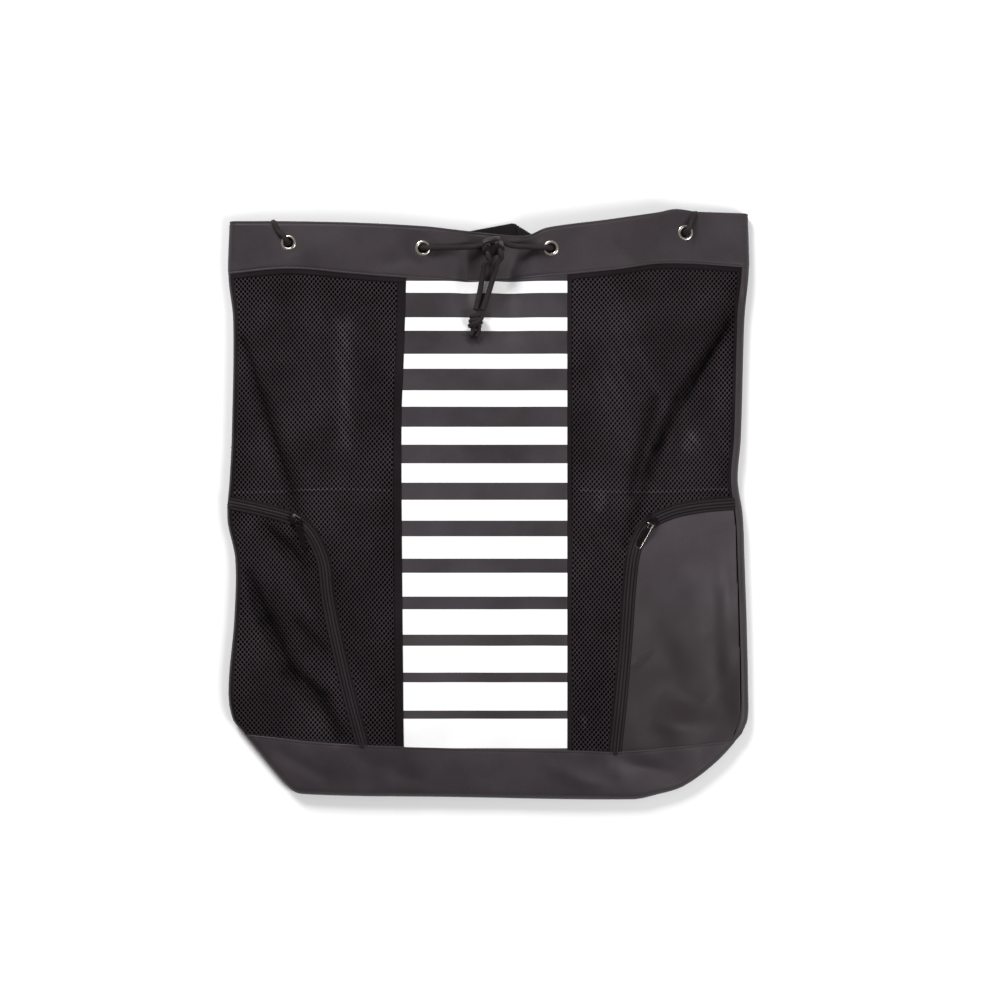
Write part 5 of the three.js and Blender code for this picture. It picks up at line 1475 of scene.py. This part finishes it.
loopSet = {"rise": 10.5, "crease": -32, "legLength": 85, "secondLeg": 53, "x": 0.045, "y": 0.48,
           "soft": 0.35, "steps": 190}


def heading(degrees):
    return np.array([math.cos(math.radians(degrees)), math.sin(math.radians(degrees))])


def bandHeights(w, width, thickness):
    # half the thickness of a woven band across its width, thinner at its two edges
    edge = np.clip((width / 2 - np.abs(w)) / 0.9, 0, 1)
    return thickness / 2 * np.sqrt(np.clip(1 - (1 - edge) ** 2, 0.06, 1))


def grabLoop(s):
    # flat on one side of the crease and mirrored in it on the other, the band is rolled round the crease
    width, thickness = straps["webbing"], straps["webbingThickness"]
    top = cordClear - 4 * bag["gap"]
    low, high = top - 1.5 * thickness - bag["gap"], top - thickness / 2
    radius = (high - low) / 2
    start = np.array([s["x"] * bag["width"], s["y"] * bag["height"]])
    way, first = heading(s["crease"]), heading(s["rise"] + 180)
    middle = start + way * width / math.sin(math.radians(s["rise"] - s["crease"])) / 2
    beyond = heading(s["crease"] + 90)
    across = np.array([-first[1], first[0]])
    u = np.linspace(s["legLength"], -s["secondLeg"], s["steps"])
    w = acrossBand(width, 0.9, 15)
    flat = middle + u[:, None, None] * first + w[None, :, None] * across
    d = (flat - start) @ beyond
    turn = np.clip(d / radius, 0, np.pi)
    reach = np.where(d < 0, d, np.where(turn < np.pi, radius * np.sin(turn), -(d - np.pi * radius)))
    plan = flat + (reach - d)[..., None] * beyond
    sag = s["soft"] * np.sin(u / 19)[:, None] * np.ones(len(w))
    z = low + radius * (1 - np.cos(turn)) + sag * (d < 0)
    middleSurface = np.concatenate([plan, z[..., None]], 2)
    half = np.broadcast_to(bandHeights(w, width, thickness), z.shape)
    points = middleSurface + gridNormals(middleSurface, False) * half[..., None]
    return wallOf(points, 2 * half, u=w + width / 2, v=u)


addWall("grabLoop", grabLoop(loopSet), "webbing", ["grab_loop"], "webbing")

# shoulder straps: a padded band, a folded tab, a three-bar buckle and webbing sewn into the base

padSet = {"rows": 110, "columns": 25, "edge": 3.2, "quilt": 26, "quiltDepth": 0.45, "quiltWidth": 1.4,
          "seam": 5.5, "seamDepth": 0.7, "seamWidth": 0.9,
          "stops": [(0, 0.78), (0.08, 0.95), (0.2, 1), (0.4, 1), (0.6, 1), (0.8, 1), (0.92, 0.84),
                    (1, 0.52)]}


def padPiece(sign, s):
    # crowned across its width, closed at its ends, with a sewn channel inside its edge and soft ones across
    length, full = straps["padLength"], straps["padWidth"]
    t = stepsIn(length, [0, 0.6, 1.6, 3.2], length / s["rows"])
    w = stepsIn(full, [0, 0.4, 1.2, 2.6], full / s["columns"]) * 2 - 1
    width = track(s["stops"], t) * full
    slope = strapAt["slope"] * t
    x = straps["spacing"] / 2 + strapAt["slope"] * length * t * t / 2
    reach = w[None] * width[:, None] / 2 / np.hypot(1, slope)[:, None]
    px = sign * (x[:, None] + reach)
    py = strapAt["top"] - length * t[:, None] + slope[:, None] * reach
    fromEnd = np.minimum(t, 1 - t)[:, None] * length
    away = np.minimum((1 - np.abs(w))[None] * width[:, None] / 2, fromEnd)
    shell = np.sqrt(np.clip(1 - (1 - np.clip(away / s["edge"], 0, 1)) ** 2, 0, 1))
    channel = s["seamDepth"] * bell(away - s["seam"], s["seamWidth"])
    fromCross = (t * length) % s["quilt"] - s["quilt"] / 2
    cross = s["quiltDepth"] * bell(fromCross, s["quiltWidth"])[:, None] * ease((away - s["seam"]) / 3)
    half = straps["padThickness"] / 2 - 0.15
    bulge = np.maximum(0.25, half * shell - channel - cross)
    middle = straps["padThickness"] / 2
    top = np.stack([px, py, middle + bulge], 2)
    under = np.stack([px, py, np.maximum(0.15, middle - bulge)], 2)
    return joinShells(top, under, sign > 0, w * full / 2, t * length)


def joinShells(top, under, flip, u, v):
    # two grids of the same size joined along their four edges
    rows, cols = top.shape[:2]
    j, i = np.meshgrid(np.arange(rows - 1), np.arange(cols - 1), indexing="ij")
    j, i = j.ravel(), i.ravel()
    a, b, c, d = j * cols + i, j * cols + i + 1, (j + 1) * cols + i + 1, (j + 1) * cols + i
    low = rows * cols
    sheets = [np.stack([d, c, b, a], 1), np.stack([a, b, c, d], 1) + low]
    there, back = np.arange(cols), (rows - 1) * cols + np.arange(cols - 2, -1, -1)
    up, down = np.arange(1, rows) * cols + cols - 1, np.arange(rows - 2, 0, -1) * cols
    ring = np.concatenate([there, up, back, down])
    after = np.roll(ring, -1)
    sheets.append(np.stack([ring, after, after + low, ring + low], 1))
    faces = np.vstack(sheets)
    faces = faces if flip else faces[:, ::-1]
    points = np.vstack([top.reshape(-1, 3), under.reshape(-1, 3)])
    uAll, vAll = np.tile(np.tile(u, rows), 2), np.tile(np.repeat(v, cols), 2)
    return points, faces, np.stack([uAll[faces], vAll[faces]], 2).reshape(-1, 2)


clothSet = {"pressure": 4.0, "frames": 20, "cap": 0.9, "tension": 18, "lowest": 0.15}


def puffed(piece, s):
    # the pad's cloth swells under a little pressure for twenty frames; no point moves more than the cap
    scene = bpy.context.scene
    trial = piece.copy()
    trial.data = piece.data.copy()
    scene.collection.objects.link(trial)
    cloth = trial.modifiers.new("swell", "CLOTH")
    cloth.settings.use_pressure = True
    cloth.settings.uniform_pressure_force = s["pressure"]
    cloth.settings.effector_weights.gravity = 0
    cloth.settings.tension_stiffness = s["tension"]
    cloth.point_cache.frame_start, cloth.point_cache.frame_end = 1, s["frames"]
    for frameNumber in range(1, s["frames"] + 1):
        scene.frame_set(frameNumber)
    held = trial.evaluated_get(bpy.context.evaluated_depsgraph_get()).data
    count = len(piece.data.vertices)
    start, end = np.empty(count * 3), np.empty(count * 3)
    piece.data.vertices.foreach_get("co", start)
    held.vertices.foreach_get("co", end)
    move = (end - start).reshape(-1, 3)
    far = np.linalg.norm(move, axis=1, keepdims=True)
    move *= np.minimum(1, s["cap"] * mm / np.maximum(far, 1e-9))
    done = start.reshape(-1, 3) + move
    high = (straps["padThickness"] + 0.05) * mm
    done[:, 2] = np.clip(done[:, 2], s["lowest"] * mm, high)
    piece.data.vertices.foreach_set("co", done.ravel())
    piece.data.update()
    scene.frame_set(1)
    bpy.data.objects.remove(trial)


def strapPose(sign):
    turn = Matrix.Rotation(math.radians(sign * straps["turn"]), 4, "Z")
    return np.array(Matrix.Translation(Vector((sign * strapAt["endX"], strapAt["bottom"], 0))) @ turn)


def bandPiece(route, sign):
    # a woven band carried along a route of run and height, square across the strap
    width, thickness = straps["webbing"], straps["webbingThickness"]
    line = curveThrough([(0, run, z) for run, z in route], 1.0)
    w = acrossBand(width, 0.9, 13)
    middle = np.broadcast_to(line[:, None], (len(line), len(w), 3)).copy()
    middle[..., 0] = w
    half = np.broadcast_to(bandHeights(w, width, thickness), middle.shape[:2])
    normal = gridNormals(middle, False)
    points = onto(strapPose(sign), (middle + normal * half[..., None]).reshape(-1, 3)).reshape(middle.shape)
    points[..., 2] = np.maximum(points[..., 2], 0.0)
    return wallOf(points, 2 * half, u=w + width / 2, v=np.arange(len(line)) * 1.0)


thick = straps["webbingThickness"]
buckleLow = thick + bag["gap"]
bendRadius = straps["buckleThickness"] / 2 + bag["gap"] + thick / 2
bendCentre = buckleLow + straps["buckleThickness"] / 2
barSpace = straps["bar"] + bendRadius + thick
upperBar = -(bendRadius + straps["bar"])
lowerBar = upperBar - 2 * barSpace
lowLeg, highLeg = thick / 2 + 0.05, bendCentre + bendRadius


def wrapBar(centre, way):
    # half way round a bar, from under it to over it
    reach, angles = bendRadius + straps["bar"] / 2 + bag["gap"], np.linspace(-np.pi / 2, np.pi / 2, 9)
    return [(centre + way * reach * math.cos(a), bendCentre + bendRadius * math.sin(a)) for a in angles]


for side, sign in (("left", -1), ("right", 1)):
    points, faces, marks = padPiece(sign, padSet)
    pad = addPiece(camel(f"strap_pad_{side}"), points, faces, "padding", [f"strap_pad_{side}"], uv=marks,
                   material=finish["padding"])
    puffed(pad, clothSet)
    smoother = pad.modifiers.new("softer", "SUBSURF")
    smoother.levels = smoother.render_levels = 1
    tab = [(-0.3, lowLeg), *wrapBar(upperBar, -1), (-0.3, highLeg)]
    addWall(camel(f"strap_tab_{side}"), bandPiece(tab, sign), "webbing", [f"strap_tab_{side}"], "webbing")
    strapEnd = (strapAt["webEndY"] - strapAt["bottom"]) / math.cos(math.radians(straps["turn"]))
    sewn = lowerBar - straps["webbing"]
    onStrap = thick * 1.5 + bag["gap"]
    webbing = [(strapEnd, lowLeg), (strapEnd * 0.7 + lowerBar * 0.3, lowLeg),
               (lowerBar * 0.7 + strapEnd * 0.3, lowLeg), *wrapBar(lowerBar, 1),
               (sewn + straps["bar"] * 2, highLeg), (sewn + straps["bar"], onStrap + 0.4),
               (sewn - straps["bar"], onStrap)]
    node = f"strap_webbing_{side}"
    addWall(camel(node), bandPiece(webbing, sign), "webbing", [node], "webbing")
print("straps and grab loop made")

# sewing: short raised stitches in rows

stitchSet = {"length": 2.5, "gap": 0.9, "radius": 0.27, "rise": 0.12, "sides": 6, "zipInset": 4.6}


def stitchRow(name, line, lift, slot, s):
    # each stitch is a thread that dips into the cloth at both ends
    sides = s["sides"]
    line = evenly(line, (s["length"] + s["gap"]) / 2)
    starts, ends = line[:-1:2][: len(line[1::2])], line[1::2]
    way = ends - starts
    way /= np.linalg.norm(way, axis=1, keepdims=True)
    starts = starts + way * 0.1
    a = np.arange(sides) * 2 * np.pi / sides
    along = np.array([0, 0.18, 0.5, 0.82, 1.0])
    size = np.array([0.35, 0.9, 1.0, 0.9, 0.35]) * s["radius"]
    dip = np.array([-0.3, 0.02, 0.1, 0.02, -0.3])
    base = starts[:, None] + way[:, None] * (along[None, :, None] * s["length"])
    z = frontLook(base[..., 0], base[..., 1]) + lift + dip + s["rise"]
    across = np.stack([-way[:, 1], way[:, 0]], 1)
    ring = size[None, :, None] * np.cos(a)
    x = base[..., 0, None] + across[:, None, None, 0] * ring
    y = base[..., 1, None] + across[:, None, None, 1] * ring
    points = np.stack([x, y, z[..., None] + size[None, :, None] * np.sin(a)], 3)
    count = len(starts)
    k, q = np.meshgrid(np.arange(len(along) - 1), np.arange(sides), indexing="ij")
    k, q = k.ravel() * sides, q.ravel()
    after = (q + 1) % sides
    strips = np.stack([k + sides + q, k + sides + after, k + after, k + q], 1)
    each = len(along) * sides
    caps = [list(range(sides)), list(range(each - 1, each - 1 - sides, -1))]
    faces = (strips[None] + (np.arange(count) * each)[:, None, None]).reshape(-1, 4).tolist()
    faces += [[v + each * n for v in cap] for n in range(count) for cap in caps]
    addPiece(name, points.reshape(-1, 3), faces, slot, material=finish["thread"])


def seamLine(edgeName, shift, low=-0.48, high=0.48):
    x = np.linspace(low, high, 300) * bag["width"]
    return np.stack([x, alongAt(edgeName, x) + shift], 1)


def zipEdge(side, offset):
    line = np.stack(besideLine(evenly(zipCurves[side], 2.0), offset), 2)[:, 0]
    return insideSeams(line, 3, 8, 1)


collarLine = seamLine("collarSeam", collarSet["hemAt"] - collarSet["lap"])
baseLine = seamLine("baseSeam", baseSet["lap"] - baseSet["hemAt"], -0.44, 0.45)
stitchRow("stitchCollar", collarLine, collarSet["lift"] - collarSet["hemDepth"], "coated_cloth", stitchSet)
stitchRow("stitchBase", baseLine, baseSet["lift"] - baseSet["hemDepth"], "coated_cloth", stitchSet)
for side in ("left", "right"):
    for k, sign in enumerate((-1, 1)):
        line = zipEdge(side, sign * stitchSet["zipInset"])
        stitchRow(camel(f"stitch_zip_{side}") + str(k + 1), line, zipSet["lift"], "zip_cloth", stitchSet)
print("sewing made")

# floor and light

lightSet = {
    "world": 0.3,
    "lamps": [  # name, place, aim, size in metres, watts
        ("softBox", (-1.6, 3.2, 2.4), (0, 0, 0), 1.4, 190),
        ("fillBox", (1.8, -0.9, 2.0), (0, 0, 0), 1.2, 52),
    ],
    "floor": 0.93, "floorHalf": 6, "floorShade": 0.01,
}


def addLight(name, place, aim, size, watts):
    data = bpy.data.lights.new(name, "AREA")
    data.shape, data.size, data.energy = "SQUARE", size, watts
    light = bpy.data.objects.new(name, data)
    light.location = place
    light.rotation_euler = (Vector(aim) - Vector(place)).to_track_quat("-Z", "Y").to_euler()
    bpy.context.scene.collection.objects.link(light)


def addStudio(s):
    world = bpy.data.worlds.new("studio")
    bpy.context.scene.world = world
    world.use_nodes = True
    sky = world.node_tree.nodes["Background"]
    sky.inputs[0].default_value = (1, 1, 1, 1)
    sky.inputs[1].default_value = s["world"]
    for lamp in s["lamps"]:
        addLight(*lamp)
    mesh = bpy.data.meshes.new("floor")
    half = s["floorHalf"]
    corners = [(-half, -half, 0), (half, -half, 0), (half, half, 0), (-half, half, 0)]
    mesh.from_pydata(corners, [], [(0, 1, 2, 3)])
    floor = bpy.data.objects.new("floor", mesh)
    bpy.context.scene.collection.objects.link(floor)
    material, tree, shader = newFinish("floorPaper", Roughness=0.9, Specular_IOR_Level=0.1)
    shade = add(tree, "ShaderNodeTexNoise", Vector=placeOf(tree), Scale=0.004, Detail=2.0)
    pale, darker = (s["floor"],) * 3, (s["floor"] - s["floorShade"],) * 3
    colour = mixColours(tree, shade.outputs["Fac"], pale, darker)
    tree.links.new(colour, shader.inputs["Base Color"])
    mesh.materials.append(material)


addStudio(lightSet)
bpy.context.scene.view_settings.view_transform = "Standard"
print("scene made")
